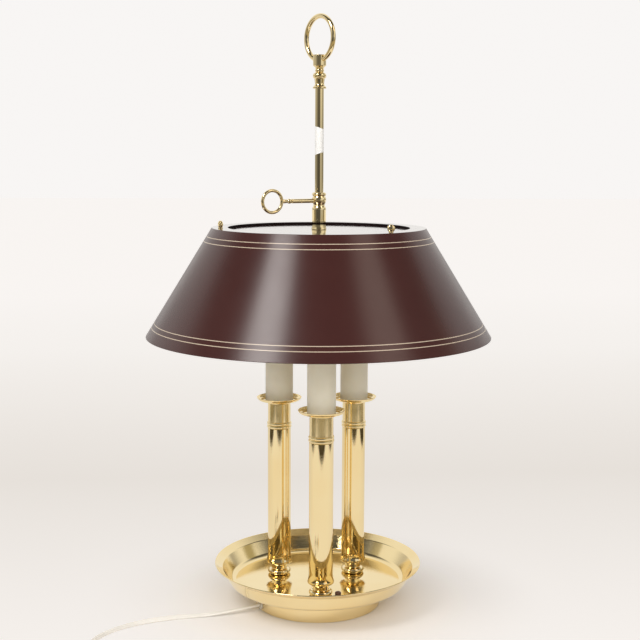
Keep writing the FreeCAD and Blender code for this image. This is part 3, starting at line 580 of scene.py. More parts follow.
# Pipes, nuts, sockets and bulbs.
# A threaded pipe clamps each column to the tray and carries a black moulded socket with a
# brass screw shell. The bulbs are small white globes with a metal cap.
steel_tones = ((0.5, 0.5, 0.5), (0.62, 0.61, 0.58))
zinc_steel = mottled("zinc_steel", steel_tones, (120, 3), [("Metallic", 1.0)], (200, 0.3, 0.5))
black_tones = ((0.012, 0.011, 0.011), (0.025, 0.023, 0.022))
socket_black = mottled("socket_plastic", black_tones, (700, 3), (), (250, 0.3, 0.4), (700, 3, 0.0002, 0.4))
glass_tones = ((0.88, 0.87, 0.84), (0.82, 0.81, 0.78))
glass_settings = [
    ("Roughness", 0.18),
    ("Transmission Weight", 0.25),
    ("Subsurface Weight", 0.3),
    ("Subsurface Radius", (0.01, 0.01, 0.01)),
    ("Subsurface Scale", 0.5),
]
opal_glass = mottled("opal_glass", glass_tones, (30, 3), glass_settings)
wear(zinc_steel, "column_nuts", "pole_nut", *on_each("column_pipe"), *on_each("bulb_cap"))
wear(socket_black, *on_each("socket_body"))
wear(polished_brass, *on_each("socket_shell"))

globe_radius, glass_bottom, globe_top = span("bulb_glass_1")
globe_middle = globe_top - globe_radius
glass_neck = 11.4
glass_wall = 0.9
join_share = 0.6
shoulder = globe_middle - globe_radius * math.sqrt(1 - join_share ** 2)
inner_globe = globe_radius - glass_wall


def on_globe(radius, degrees):
    """A point on a globe, this far up from its widest line."""
    angle = math.radians(degrees)
    return (radius * math.cos(angle), globe_middle + radius * math.sin(angle))


glass_steps = [
    (glass_neck, glass_bottom),
    (glass_neck, shoulder - 6),
    (glass_neck + 1.0, shoulder - 3.2, globe_radius * join_share, shoulder),
    on_globe(globe_radius, 0) + on_globe(globe_radius, 45),
    on_globe(globe_radius, 67.5) + (0, globe_top),
    (0, globe_top - glass_wall),
    on_globe(inner_globe, 67.5) + on_globe(inner_globe, 45),
    on_globe(inner_globe, 0) + (globe_radius * join_share - 0.7, shoulder + 0.9),
    (glass_neck - 0.2, shoulder - 3.0, glass_neck - glass_wall, shoulder - 6),
    (glass_neck - glass_wall, glass_bottom),
]
bulb_globes = turned("bulb_globes", outline(glass_steps), opal_glass, 64)
on_columns(bulb_globes, "bulb_glass", "bulb_glass")


# Centre pole and its foot ring.
# A plain brass tube from the weight to the finial, with a turned ring where it meets the
# tray. A blank band of white paper tape is stuck round it above the collar.
pole_radius, pole_low, pole_top = span("pole")
pole_bore = 3.2
pole_outline = eased(wall(pole_bore, pole_radius, pole_low, pole_top), 0.2)
pole = turned("pole_tube", pole_outline, polished_brass, 96)
stand_in(pole, "base", "brass", "pole")

ring_radius, ring_low, ring_top = span("pole_foot")
pole_clearance = 0.08
ring_bore = pole_radius + pole_clearance
ring_steps = [
    (ring_bore, ring_low),
    (ring_radius, ring_low),
    (ring_radius, ring_low + 1.5),
    (ring_radius - 1.0, (ring_low + ring_top) / 2, ring_bore + 1.6, ring_top - 1.0),
    (ring_bore + 1.6, ring_top),
    (ring_bore, ring_top),
]
pole_ring = turned("pole_foot_ring", eased(ring_steps, 0.3), polished_brass, 96)
stand_in(pole_ring, "base", "brass", "pole_foot")

tape_tones = ((0.90, 0.90, 0.89), (0.86, 0.86, 0.85))
paper_tape = mottled("paper_tape", tape_tones, (90, 1), [("Roughness", 0.6)], bump=(90, 1, 0.0002, 0.1))
tape_low, tape_high = 516.0, 544.0
tape_radius = pole_radius + 0.06
tape_slant = 1.6
tape_outline = outline(wall(pole_radius + 0.01, tape_radius, tape_low, tape_high))
tape = turned("pole_tape", tape_outline, paper_tape, 64)
for vertex in tape.data.vertices:
    lean = vertex.co.x / tape_radius * tape_slant
    vertex.co.z += lean if vertex.co.z < (tape_low + tape_high) / 2 * MM else -lean
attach(tape, "base")


# Finial and its ring.
# A turned brass finial closes the pole: flared foot, waist, bead, neck and a drum head.
# A ring of thick wire passes through the head, to lift the lamp by.
finial_low, finial_high = span("finial")[1:]
finial_bore = pole_radius + pole_clearance
finial_steps = [
    (finial_bore, finial_low),
    (7.0, finial_low),
    (7.4, finial_low + 0.4),
    (7.4, finial_low + 1.8),
    (5.6, finial_low + 3.8, 5.2, finial_low + 6.8),
    (5.6, finial_low + 10.8),
    (6.4, finial_low + 11.2),
    (7.3, finial_low + 12.9, 6.7, finial_low + 16.2),
    (6.3, finial_low + 16.6),
    (4.45, finial_low + 17.8),
    (4.45, finial_low + 18.2),
    (4.95, finial_low + 19.7, 4.45, finial_low + 21.2),
    (4.85, finial_low + 22.9),
    (6.86, finial_low + 24.6),
    (7.26, finial_low + 25.0),
    (7.26, finial_high - 0.4),
    (6.86, finial_high),
    (0, finial_high),
]
finial_seat = finial_low + 5.25
finial_outline = [Vector((0, finial_seat)), Vector((finial_bore, finial_seat))]
finial_outline += eased(finial_steps, 0.25, 14, closed=False)
finial = turned("finial_turning", finial_outline, polished_brass, 96)
stand_in(finial, "base", "brass", "finial")


def wire_ring_tree():
    """Bends round wire into a closed ring that stands upright."""
    sockets = [("Mean Radius", "Float"), ("Wire Radius", "Float")]
    sockets += [("Middle", "Vector"), ("Turn", "Vector"), ("Material", "Material")]
    tree, given, result = new_tree("wire_ring", sockets)
    asked = given.outputs
    circle = "GeometryNodeCurvePrimitiveCircle"
    line = node(tree, circle, [("Resolution", 160), ("Radius", asked["Mean Radius"])])[0]
    section = node(tree, circle, [("Resolution", 32), ("Radius", asked["Wire Radius"])])[0]
    bend = node(tree, "GeometryNodeCurveToMesh", [("Curve", line), ("Profile Curve", section)])[0]
    smooth = node(tree, "GeometryNodeSetShadeSmooth", [(0, bend)])[0]
    feeds = [("Geometry", smooth), ("Translation", asked["Middle"]), ("Rotation", asked["Turn"])]
    dressed(tree, given, result, node(tree, "GeometryNodeTransform", feeds)[0])
    return tree


wire_ring = wire_ring_tree()


def ring_piece(name, stem, mean, wire, middle, facing, body):
    """A wire ring that stands for a CAD node. It is upright, and its plane lies along the facing angle."""
    piece = shown(name, bpy.data.meshes.new(name), polished_brass)
    values = {
        "Mean Radius": mean * MM,
        "Wire Radius": wire * MM,
        "Middle": [value * MM for value in middle],
        "Turn": (math.pi / 2, 0.0, facing),
        "Material": polished_brass,
    }
    worked(piece, wire_ring, values)
    work = bmesh.new()
    work.from_mesh(piece.data)
    bmesh.ops.recalc_face_normals(work, faces=work.faces)
    work.to_mesh(piece.data)
    work.free()
    stand_in(piece, body, "brass", stem)


lift_wire = 2.75
lift_low, lift_high = span("finial_ring")[1:]
lift_mean = (lift_high - lift_low) / 2 - lift_wire
lift_middle = middle_of("finial_ring") / MM
lift_facing = math.radians(-56)
ring_piece("lift_ring", "finial_ring", lift_mean, lift_wire, lift_middle, lift_facing, "base")


# Shade and its plate.
# A straight cone of painted tole with a flat flange soldered in its top. The flange rests
# on a plate that the collar carries, and three studs hold the two together.
# Outside it is dark red-brown with two pairs of gilt lines, and inside it is pale cream.
shade_bottom, _, shade_top = span("shade_cone")
flange_under = span("shade_flange")[1]
plate_radius, plate_low, plate_top = span("shade_plate")
shade_wall = 0.8
shade_shoulder = 119.5
shade_mouth = 101.6
shade_edge = 313.0
shade_slope = math.atan2(shade_bottom - shade_shoulder, shade_top - shade_edge)
step_in = shade_wall * math.cos(shade_slope)
step_down = shade_wall * math.sin(shade_slope)
shade_red = (0.050, 0.0140, 0.0120)
shade_red_deep = (0.046, 0.0127, 0.0110)
gilt = (0.56, 0.46, 0.35)
line_width = 0.8
line_blur = 0.08
lines_from_top = (11.0, 17.3)
lines_from_bottom = (12.7, 18.5)


def tole_finish(name, lined, gloss, tones=(shade_red, shade_red_deep), settings=()):
    """Enamel with a faint orange peel. A lined one has the gilt lines at their heights."""
    material, shader, coords = finish(name, settings)
    place = coords["Object"]
    colour = blended(soft_noise(place, 18, detail=4), *tones)
    if lined:
        height = node(material.node_tree, "ShaderNodeSeparateXYZ", [(0, place)])["Z"]
        drop = math.cos(shade_slope)
        half = line_width * drop / 2
        heights = [shade_top - run * drop for run in lines_from_top]
        heights += [shade_edge + run * drop for run in lines_from_bottom]
        for middle in heights:
            away = maths("ABSOLUTE", maths("SUBTRACT", height, middle * MM))
            inside = rescaled(away, (half + line_blur) * MM, (half - line_blur) * MM)
            colour = blended(inside, colour, gilt)
    feed(shader["Base Color"], colour)
    feed(shader["Roughness"], soft_noise(place, 70, gloss, gloss + 0.02))
    raised(shader, soft_noise(place, 260, detail=2), 0.0002, 0.03)
    return material


tole_lined = tole_finish("tole_lined", True, 0.25)
varnish = [("IOR", 2.4), ("Coat Weight", 1.0), ("Coat Roughness", 0.08), ("Coat IOR", 2.0)]
tole_gloss = tole_finish("tole_gloss", False, 0.08, settings=varnish)
# The mouth's inner wall, the recess round the plate, is painted near black as painted shade.
shadow_tones = ((0.008, 0.004, 0.004), (0.012, 0.006, 0.006))
tole_shadow = tole_finish("tole_shadow", False, 0.7, shadow_tones, [("Specular IOR Level", 0.1)])
lining_tones = ((0.74, 0.71, 0.62), (0.70, 0.66, 0.56))
lining_bump = (300, 2, 0.0002, 0.25)
shade_lining = mottled("shade_lining", lining_tones, (25, 3), [("Roughness", 0.6)], bump=lining_bump)
shade_steps = [
    (shade_bottom, shade_edge),
    (shade_shoulder, shade_top),
    (shade_mouth, shade_top),
    (shade_mouth, flange_under),
    (shade_mouth + shade_wall, flange_under),
    (shade_mouth + shade_wall, shade_top - shade_wall),
    (shade_shoulder - step_in, shade_top - shade_wall),
    (shade_bottom - step_in, shade_edge - step_down),
]
shade = turned("shade_shell", eased(shade_steps, 0.3), tole_lined, 256)
for material in (shade_lining, tole_gloss, tole_shadow):
    shade.data.materials.append(material)
lining_top = shade_top - shade_wall * 1.5
for face in shade.data.polygons:
    middle = face.center
    if face.normal.z > 0.9:
        face.material_index = 2
    faces_in = face.normal.x * middle.x + face.normal.y * middle.y < 0
    if faces_in and face.normal.z < 0.7 and middle.xy.length < (shade_mouth + 1) * MM:
        face.material_index = 3
    if faces_in and middle.z < lining_top * MM and middle.xy.length > (shade_mouth + 5) * MM:
        face.material_index = 1
stand_in(shade, "shade", "tole", "shade_cone", "shade_flange")

stem_radius = 6.68
plate_outline = eased(wall(stem_radius, plate_radius, plate_low, plate_top), 0.2)
plate = turned("shade_plate_disc", plate_outline, tole_gloss, 192)
plate.data.materials.append(shade_lining)
for face in plate.data.polygons:
    if face.normal.z < -0.9:
        face.material_index = 1
stand_in(plate, "shade", "tole", "shade_plate")


# Studs and thumb nuts.
# Three studs come up through plate and flange. Two carry a small round brass thumb nut
# that stands on edge, and the one at the back ends flush.
wear(polished_brass, "shade_screws")
nut_radius = 4.2
nut_half = 2.7
nut_lift = 0.15
nut_seat = 2.6
nut_steps = [
    (0, -nut_half),
    (nut_radius * 0.6, -nut_half * 0.86, nut_radius, -nut_half * 0.35),
    (nut_radius, nut_half * 0.35),
    (nut_radius * 0.6, nut_half * 0.86, 0, nut_half),
]
seat_height = 1.2
seat_steps = [(0, 0), (nut_seat, 0), (nut_seat, seat_height), (0, seat_height)]
stud_circle = 111.0
lift = Matrix.Translation((0, 0, (nut_lift + nut_radius) * MM))
on_edge = Matrix.Rotation(math.pi / 2, 4, "Y")
thumb_nuts = bmesh.new()
for stud_angle, nut_angle in ((-51.0, 86.0), (-171.0, 15.0)):
    bearing = Matrix.Rotation(math.radians(stud_angle), 4, "Z")
    stand = bearing @ Matrix.Translation((stud_circle * MM, 0, shade_top * MM))
    face = Matrix.Rotation(math.radians(nut_angle - stud_angle), 4, "Z")
    for steps, place in ((nut_steps, stand @ lift @ face @ on_edge), (seat_steps, stand)):
        part = turned("thumb_nut_part", eased(steps, 0.3, closed=False), polished_brass, 48, place)
        thumb_nuts.from_mesh(part.data)
        bpy.data.objects.remove(part)
nuts = shown("thumb_nuts", made_mesh(thumb_nuts, "thumb_nuts", 40), polished_brass)
stand_in(nuts, "shade", "brass", "shade_nuts")


# Collar and its nut.
# A turned sleeve that slides on the pole: bead, drum, groove and a long drum with a
# flared foot. Its threaded stem passes the plate and a ring nut holds the two together.
collar_flare, stem_low, collar_top = span("shade_collar")
collar_foot = stem_low + 8.0
collar = collar_flare - 0.5
collar_bore = pole_radius + pole_clearance
bead_low = collar_top - 3.9
drum_low = bead_low - 9.0
groove_low = drum_low - 2.2
collar_steps = [
    (collar_bore, stem_low),
    (6.6, stem_low),
    (6.6, collar_foot),
    (collar_flare, collar_foot),
    (collar_flare, collar_foot + 0.5),
    (collar, collar_foot + 3.0, collar - 0.2, collar_foot + 6.0),
    (collar - 0.1, groove_low - 4.2),
    (collar - 0.4, groove_low - 1.9, collar - 1.3, groove_low),
    (collar - 1.6, groove_low + 1.1, collar - 1.3, drum_low),
    (collar, drum_low + 4.5, collar - 1.3, bead_low),
    (collar, bead_low + 1.95, collar - 0.9, collar_top - 0.5),
    (collar - 1.4, collar_top),
    (collar_bore, collar_top),
]
sleeve = turned("collar_sleeve", eased(collar_steps, 0.2), polished_brass, 96)
stand_in(sleeve, "collar", "brass", "shade_collar")
wear(polished_brass, "collar_nut")


# Locking key.
# A turned brass shank screws through the collar against the pole, and a wire ring is
# brazed into its end to turn it by.
key_angle = math.radians(-153)
key_low, key_high = span("key_ring")[1:]
key_height = (key_low + key_high) / 2
shank_steps = [
    (0, 5.06),
    (1.5, 5.06),
    (2.0, 5.56),
    (2.0, 8.15),
    (2.4, 8.15),
    (2.4, 35.0),
    (1.5, 35.6, 2.0, 36.2),
    (2.75, 38.3, 1.7, 40.4),
    (2.2, 44.0, 1.9, 47.6),
    (0, 47.6),
]
key_place = Matrix.Translation((0, 0, key_height * MM)) @ Matrix.Rotation(key_angle, 4, "Z") @ on_edge
shank_outline = eased(shank_steps, 0.15, closed=False)
shank = turned("key_shank_turning", shank_outline, polished_brass, 64, key_place)
stand_in(shank, "key", "brass", "key_shank")

key_reach = 59.6
key_wire = 1.8
key_mean = (key_high - key_low) / 2 - key_wire
key_middle = (key_reach * math.cos(key_angle), key_reach * math.sin(key_angle), key_height)
ring_piece("key_finger_ring", "key_ring", key_mean, key_wire, key_middle, key_angle, "key")


# Switch.
# A small rotary switch under the tray. Its bush and nut show on the floor of the tray,
# and a brown ribbed knob with a domed top turns on its shaft.
def ribbed_tree():
    """Presses even ribs into the side of a round piece on the axis, then moves it into place."""
    sockets = [(label, "Float") for label in ("Ribs", "Depth", "Radius", "Top")]
    sockets += [("Place", "Vector"), ("Material", "Material")]
    tree, given, result = new_tree("ribbed", sockets)
    asked = given.outputs
    here = node(tree, "GeometryNodeInputPosition")[0]
    split = node(tree, "ShaderNodeSeparateXYZ", [(0, here)])
    angle = maths("ARCTAN2", split["Y"], split["X"])
    turn = maths("MULTIPLY", angle, asked["Ribs"])
    wave = maths("ABSOLUTE", maths("COSINE", maths("MULTIPLY", turn, 0.5)))
    depth = maths("MULTIPLY", maths("SUBTRACT", wave, 1.0), asked["Depth"])
    level = node(tree, "ShaderNodeCombineXYZ", [("X", split["X"]), ("Y", split["Y"])])[0]
    reach = node(tree, "ShaderNodeVectorMath", [(0, level)], operation="LENGTH")["Value"]
    outer = maths("GREATER_THAN", reach, maths("MULTIPLY", asked["Radius"], 0.9))
    below = maths("LESS_THAN", split["Z"], asked["Top"])
    depth = maths("MULTIPLY", depth, maths("MULTIPLY", outer, below))
    way = node(tree, "ShaderNodeVectorMath", [(0, level)], operation="NORMALIZE")[0]
    push = node(tree, "ShaderNodeVectorMath", [(0, way), ("Scale", depth)], operation="SCALE")[0]
    press = node(tree, "GeometryNodeSetPosition", [("Geometry", asked["Geometry"]), ("Offset", push)])[0]
    feeds = [("Geometry", press), ("Translation", asked["Place"])]
    dressed(tree, given, result, node(tree, "GeometryNodeTransform", feeds)[0])
    return tree


knob_tones = ((0.10, 0.045, 0.03), (0.06, 0.028, 0.02))
brown_knob = mottled("brown_knob", knob_tones, (400, 3), rough=(500, 0.22, 0.35))
knob_middle = middle_of("switch_knob")
knob_radius, shaft_low, knob_top = span("switch_knob")
knob_low = knob_top - 3.9
knob_side = knob_top - 1.4
shaft = 1.4
dome_mid = knob_radius * 0.55
ball = (knob_radius ** 2 + 1.4 ** 2) / (2 * 1.4)
knob_steps = [
    (0, shaft_low),
    (shaft, shaft_low),
    (shaft, knob_low),
    (knob_radius, knob_low),
    (knob_radius, knob_side),
    (dome_mid, knob_top - ball + math.sqrt(ball ** 2 - dome_mid ** 2), 0, knob_top),
]
knob_outline = eased(knob_steps, 0.35, closed=False)
knob = turned("knob_cap", knob_outline, brown_knob, 240, None, 50)
knob_values = {
    "Ribs": 24.0,
    "Depth": 0.3 * MM,
    "Radius": knob_radius * MM,
    "Top": (knob_side + 0.2) * MM,
    "Place": (knob_middle.x, knob_middle.y, 0.0),
    "Material": brown_knob,
}
worked(knob, ribbed_tree(), knob_values)
stand_in(knob, "knob", "brown_plastic", "switch_knob")
wear(polished_brass, "switch_nut")
wear(socket_black, "switch_can")


# Wire connectors.
# Two ivory twist-on connectors on the weight join the lead, the switch and the sockets.
# They are moulded plastic, hidden under the tray.
wear(ivory_plastic, "wire_connectors")


# Lead and plug.
# Flat two-core lead of white vinyl, about 1.8 m. It leaves the foot band low on the left
# and lies along the table, a stretch of it turned on edge. The rest is wound in two
# layers of flat turns out of view.
vinyl_tones = ((0.82, 0.795, 0.745), (0.77, 0.745, 0.69))
vinyl_settings = [
    ("Subsurface Weight", 0.1),
    ("Subsurface Radius", (0.003, 0.003, 0.003)),
    ("Subsurface Scale", 0.4),
]
vinyl_bump = (500, 2, 0.0001, 0.1)
white_vinyl = mottled("white_vinyl", vinyl_tones, (45, 3), vinyl_settings, (150, 0.35, 0.48), vinyl_bump)

lead_width = 5.4
lead_thick = 2.7
lie = lead_thick / 2 + 0.05
coil_middle = Vector((-214.0, -196.0, 0))
coil_outer = 42.3
coil_pitch = 6.1
layer_rise = lead_thick + 0.3
turns_in = 3.375
climb_turns = 0.5
turns_out = 3.375
turns_all = turns_in + climb_turns + turns_out
points_per_turn = 16


def coil_point(turn):
    """The lead's middle line in the coil, after this many turns."""
    inner = coil_outer - coil_pitch * turns_in
    climbed = min(max((turn - turns_in) / climb_turns, 0), 1)
    if turn <= turns_in:
        radius = coil_outer - coil_pitch * turn
    elif turn <= turns_in + climb_turns:
        radius = inner + coil_pitch * climb_turns * (climbed * climbed - climbed)
    else:
        radius = inner + coil_pitch * (turn - turns_in - climb_turns)
    angle = math.pi + math.tau * turn
    height = lie + layer_rise * climbed * climbed * (3 - 2 * climbed)
    return coil_middle + Vector((radius * math.cos(angle), radius * math.sin(angle), height))


def coil_heading(turn):
    """The lead's direction in the coil, after this many turns."""
    small = 0.0005
    return (coil_point(turn + small) - coil_point(turn - small)).normalized()


exit_angle = math.radians(-157)
exit_reach = foot_radius + 1.4
exit_height = 6.6
lead_exit = Vector((exit_reach * math.cos(exit_angle), exit_reach * math.sin(exit_angle), exit_height))
coil_in = coil_point(0) - coil_heading(0) * lead_width
coil_out = coil_point(turns_all) + coil_heading(turns_all) * lead_width
plug_angle = math.radians(-32)
plug_heading = Vector((math.cos(plug_angle), math.sin(plug_angle), 0))
plug_bend = 22.0
plug_run = 24.0
plug_corner = coil_out + coil_heading(turns_all) * plug_bend
lead_route = [
    lead_exit,
    (-94.5, -40.1, 5.4),
    (-126.0, -45.2, 2.2),
    (-158.0, -48.8, lie + 0.7),
    (-190.0, -58.5, lie + 1.3),
    (-219.0, -75.0, lie + 1.35),
    (-242.0, -99.0, lie + 1.35),
    (-253.5, -129.0, lie + 0.9),
    coil_in - coil_heading(0) * 29.0,
    coil_in,
]
turn_points = int(turns_all * points_per_turn)
lead_route += [coil_point(turns_all * k / turn_points) for k in range(turn_points + 1)]
lead_route += [coil_out, plug_corner, plug_corner + plug_heading * plug_run]
lead_route[-1].z = middle_of("plug_body").z / MM
plug_corner.z = (lead_route[-1].z + lead_route[-3].z) / 2


def spline_points(route):
    """Points along the smooth line that the route's points steer."""
    curve = bpy.data.curves.new("lead_line", "CURVE")
    curve.dimensions = "3D"
    curve.resolution_u = 8
    spline = curve.splines.new("NURBS")
    spline.points.add(len(route) - 1)
    for point, place in zip(spline.points, route):
        point.co = (*(Vector(place) * MM), 1)
    spline.order_u = 3
    spline.use_endpoint_u = True
    holder = placed("lead_line", curve)
    bpy.context.view_layer.update()
    line = bpy.data.meshes.new_from_object(holder)
    points = [vertex.co.copy() for vertex in line.vertices]
    bpy.data.objects.remove(holder)
    return points


def twin_section():
    """The lead's section as (across, up) points: two round cores side by side with a groove between."""
    core = lead_thick / 2
    made = []
    for way in (1, -1):
        for degrees in (-122, -90, -60, -30, 0, 30, 60, 90, 122):
            angle = math.radians(degrees)
            made.append((way * (core + core * math.cos(angle)), way * core * math.sin(angle)))
    return made


edge_from = 45.0
edge_to = 330.0
edge_ease = 40.0


def edge_turn(height, run):
    """How far the lead is turned on edge: more where its middle line is higher, and not at the exit."""
    lift = (height / MM - lie) / (lead_thick / 2)
    begun = min(max((run / MM - edge_from) / edge_ease, 0), 1)
    left = min(max((edge_to - run / MM) / edge_ease, 0), 1)
    return math.asin(min(max(lift, 0), 1)) * begun * left


def flat_lead(name, points, material):
    """A closed flat tube along the points. Its wide side is level, but for a stretch turned on edge."""
    section = twin_section()
    work = bmesh.new()
    around = work.loops.layers.uv.new("along")
    rings = []
    runs = [0.0]
    for k, here in enumerate(points):
        before = points[max(k - 1, 0)]
        after = points[min(k + 1, len(points) - 1)]
        if k:
            runs.append(runs[-1] + (here - before).length)
        heading = (after - before).normalized()
        side = heading.cross(Vector((0, 0, 1))).normalized()
        over = side.cross(heading)
        spin = Matrix.Rotation(-edge_turn(here.z, runs[-1]), 3, heading)
        side, over = spin @ side, spin @ over
        rings.append([work.verts.new(here + side * (u * MM) + over * (v * MM)) for u, v in section])
    count = len(section)
    for k in range(len(rings) - 1):
        for m in range(count):
            n = (m + 1) % count
            face = work.faces.new((rings[k][m], rings[k][n], rings[k + 1][n], rings[k + 1][m]))
            for loop, (u, v) in zip(face.loops, ((m, k), (m + 1, k), (m + 1, k + 1), (m, k + 1))):
                loop[around].uv = (u / count, runs[v])
    work.faces.new(rings[0])
    work.faces.new(rings[-1])
    bmesh.ops.recalc_face_normals(work, faces=work.faces)
    return shown(name, made_mesh(work, name, 50), material), runs[-1]


lead_line = spline_points(lead_route)
lead, lead_length = flat_lead("flat_lead", lead_line, white_vinyl)
wear(white_vinyl, "plug_body")
wear(polished_brass, "plug_blades")
stand_in(lead, "base", "white_vinyl", "cord_run", "cord_coil", "cord_tail")


# Floor.
# A white paper sweep. Near the lamp it is lit and takes the shadow, and farther out it keeps
# the same tone whatever the light, with a band of painted shade behind the lamp, pale again beyond.
# Reflections also show its front and side edges, a dark gap there and the room's grey floor.
def ramp(value, stops):
    """A colour ramp with (position, colour) stops. A level alone is a slightly warm grey."""
    made = value.id_data.nodes.new("ShaderNodeValToRGB")
    elements = made.color_ramp.elements
    elements[0].position, elements[1].position = stops[0][0], stops[-1][0]
    for position, colour in stops[1:-1]:
        elements.new(position)
    for element, (position, colour) in zip(elements, stops):
        if isinstance(colour, float):
            colour = (colour, colour * 0.975, colour * 0.94)
        element.color = (*colour, 1)
    feed(made.inputs["Fac"], value)
    return made.outputs["Color"]


floor_front = -0.745
floor_side = 0.78
floor_round = 1.03
floor_back = 0.3
sweep_span = (-0.2, 3.0)
edge_span = (-0.05, 2.45)
seen_fade = (0.09, 0.28)
glossy_fade = (0.08, 0.16)
glow_share = 0.465
# The paper's tones along Y: a band of painted shade behind the lamp, pale in front of it and far beyond.
paper_and_shade_tones = [(0.0, (0.925, 0.890, 0.862)), (0.13, (0.845, 0.810, 0.776)), (0.234, (0.791, 0.753, 0.713))]
paper_and_shade_tones += [(0.422, (0.855, 0.823, 0.791)), (0.625, (0.904, 0.879, 0.855)), (1.0, (0.939, 0.913, 0.896))]
white = (1.0, 1.0, 1.0)
gap = (0.08, 0.07, 0.05)
edge_tones = [(0.0, white), (0.02, white), (0.0225, gap), (0.088, gap), (0.104, (0.34, 0.30, 0.19))]
edge_tones += [(0.2, (0.48, 0.42, 0.28)), (0.6, (0.44, 0.39, 0.26)), (1.0, (0.30, 0.265, 0.18))]


def floor_finish():
    """White paper with a band of painted shade behind the lamp. Far out a part of its tone glows and a part
    shines through from an even world below.
    """
    material, shader, coords = finish("white_sweep", [("Roughness", 0.6)])
    tree = material.node_tree
    split = node(tree, "ShaderNodeSeparateXYZ", [(0, coords["Object"])])
    away = node(tree, "ShaderNodeVectorMath", [(0, coords["Object"])], operation="LENGTH")["Value"]
    rays = node(tree, "ShaderNodeLightPath")
    # The paper's white together with its band of painted shade.
    paper = ramp(rescaled(split["Y"], *sweep_span), paper_and_shade_tones)
    past_side = maths("SUBTRACT", maths("ABSOLUTE", split["X"]), floor_side)
    past_front = maths("SUBTRACT", floor_front, split["Y"])
    past_corner = maths("SUBTRACT", away, floor_round)
    in_front = maths("LESS_THAN", split["Y"], floor_back)
    past = maths("MAXIMUM", past_side, maths("MAXIMUM", past_front, past_corner))
    past = maths("MULTIPLY_ADD", past, in_front, maths("SUBTRACT", in_front, 1.0))
    edge = ramp(rescaled(past, *edge_span), edge_tones)
    seen = maths("MAXIMUM", rays["Is Camera Ray"], rays["Is Transmission Ray"])
    tone = blended(maths("SUBTRACT", 1.0, seen), paper, edge, "MULTIPLY")
    feed(shader["Base Color"], tone)
    glow = node(tree, "ShaderNodeEmission", [("Color", tone), ("Strength", glow_share)])[0]
    shine = node(tree, "ShaderNodeBsdfTranslucent", [("Color", tone)])[0]
    even_tone = node(tree, "ShaderNodeAddShader", [(0, glow), (1, shine)])[0]
    fade = rescaled(away, *seen_fade, kind="SMOOTHSTEP")
    mirror_fade = rescaled(away, *glossy_fade, kind="SMOOTHSTEP")
    mirror = maths("MULTIPLY", mirror_fade, rays["Is Glossy Ray"])
    amount = maths("MAXIMUM", maths("MULTIPLY", fade, seen), mirror)
    paint = tree.nodes["Principled BSDF"].outputs[0]
    mix = node(tree, "ShaderNodeMixShader", [(0, amount), (1, paint), (2, even_tone)])[0]
    feed(tree.nodes["Material Output"].inputs["Surface"], mix)
    return material


floor_reach = 12.0
floor_mesh = bpy.data.meshes.new("sweep_floor")
floor_near = -floor_reach / 4
corners = [(-1, floor_near), (1, floor_near), (1, floor_reach), (-1, floor_reach)]
floor_mesh.from_pydata([(side * floor_reach, y, 0) for side, y in corners], [], [(0, 1, 2, 3)])
shown("sweep_floor", floor_mesh, floor_finish())


# Light.
# An even white room, with two large soft lamps high in front, the left one stronger, and a
# wide one between them that lifts the front and isn't mirrored.
# Reflections also show its walls: white behind, grey at the sides and dark round the camera.
low_walls = [(0.0, 0.92), (0.075, 0.92), (0.10, 0.62), (0.28, 0.48), (0.36, 0.22), (0.40, 0.14)]
low_walls += [(0.545, 0.16), (0.565, 0.85), (0.685, 0.80), (0.71, 0.42), (0.86, 0.42), (0.88, 0.92)]
low_walls += [(1.0, 0.92)]
left_band = (0.62, 0.57, 0.44)
right_band = (0.45, 0.40, 0.26)
upper_walls = [(0.0, 0.95), (0.225, 0.92), (0.235, left_band), (0.262, left_band), (0.275, 0.90)]
upper_walls += [(0.34, 0.90), (0.40, 0.12), (0.56, 0.12), (0.62, 0.90), (0.745, 0.90)]
upper_walls += [(0.757, right_band), (0.785, right_band), (0.80, 0.92), (1.0, 0.95)]
high_walls = [(0.0, 0.95), (0.12, 0.92), (0.2, 0.10), (0.8, 0.10), (0.88, 0.92), (1.0, 0.95)]


upper_span = (0.14, 0.3)
high_span = (0.42, 0.56)
dim_span = (0.0, 0.06)
dim_level = 0.6
even_strength = 0.54


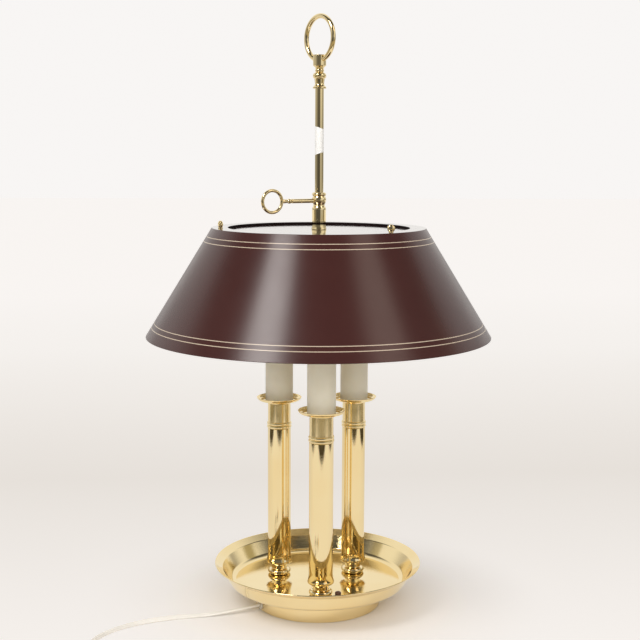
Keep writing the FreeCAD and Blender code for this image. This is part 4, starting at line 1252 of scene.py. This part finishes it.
def room_light():
    """An even world, with walls for the rays that are mirrored and a plain white for the camera."""
    world = bpy.data.worlds.new("studio")
    world.use_nodes = True
    tree = world.node_tree
    seen = tree.nodes["Background"]
    feed(seen.inputs["Color"], (0.939, 0.918, 0.904))
    coords = node(tree, "ShaderNodeTexCoord")
    split = node(tree, "ShaderNodeSeparateXYZ", [(0, coords["Generated"])])
    bearing = maths("ARCTAN2", split["X"], maths("MULTIPLY", split["Y"], -1.0))
    bearing = rescaled(bearing, -math.pi, math.pi)
    rise = rescaled(split["Z"], *upper_span, kind="SMOOTHSTEP")
    top = rescaled(split["Z"], *high_span, kind="SMOOTHSTEP")
    walls = blended(rise, ramp(bearing, low_walls), ramp(bearing, upper_walls))
    walls = blended(top, walls, ramp(bearing, high_walls))
    dim = rescaled(split["Z"], *dim_span, dim_level, 1.0)
    mirrored = node(tree, "ShaderNodeBackground", [("Color", walls), ("Strength", dim)])[0]
    feeds = [("Color", (1.0, 0.985, 0.965)), ("Strength", even_strength)]
    even = node(tree, "ShaderNodeBackground", feeds)[0]
    rays = node(tree, "ShaderNodeLightPath")
    lit = node(tree, "ShaderNodeMixShader", [(0, rays["Is Glossy Ray"]), (1, even), (2, mirrored)])[0]
    mix = node(tree, "ShaderNodeMixShader", [(0, rays["Is Camera Ray"]), (1, lit), (2, seen.outputs[0])])[0]
    feed(tree.nodes["World Output"].inputs["Surface"], mix)
    bpy.context.scene.world = world


lamp_aim = Vector((0, 0, 0.3))


def soft_lamp(name, place, size, power, colour):
    """A large rectangular lamp that faces the middle of the piece."""
    light = bpy.data.lights.new(name, "AREA")
    light.shape = "RECTANGLE"
    light.size, light.size_y = size
    light.energy = power
    light.color = colour
    holder = placed(name, light)
    holder.location = place
    holder.rotation_euler = (lamp_aim - Vector(place)).to_track_quat("-Z", "Y").to_euler()
    return holder


room_light()
soft_lamp("key_lamp", (-1.115, -0.985, 1.9), (0.72, 0.72), 17, (1.0, 0.975, 0.95))
soft_lamp("fill_lamp", (1.23, -0.96, 1.9), (0.8, 0.8), 4.2, (1.0, 0.86, 0.75))
front_lamp = soft_lamp("front_lamp", (0.0, -2.0, 1.2), (2.0, 1.0), 25, (1.0, 0.985, 0.965))
front_lamp.visible_glossy = False


# Camera.
# The photograph's own viewpoint, a little above the shade and slightly left of the front.
eye = Vector((-0.09923, -1.36361, 0.5194))
eye_heading = math.radians(-4.23)
eye_tilt = math.radians(82.09)
eye_roll = math.radians(0.25)
camera_data = bpy.data.cameras.new("camera")
camera_data.sensor_fit = "HORIZONTAL"
camera_data.sensor_width = 36.0
camera_data.lens = 68.72
camera = placed("camera", camera_data)
camera.matrix_world = (
    Matrix.Translation(eye)
    @ Matrix.Rotation(eye_heading, 4, "Z")
    @ Matrix.Rotation(eye_tilt, 4, "X")
    @ Matrix.Rotation(eye_roll, 4, "Z")
)
bpy.context.scene.camera = camera
bpy.context.scene.view_settings.view_transform = "Standard"
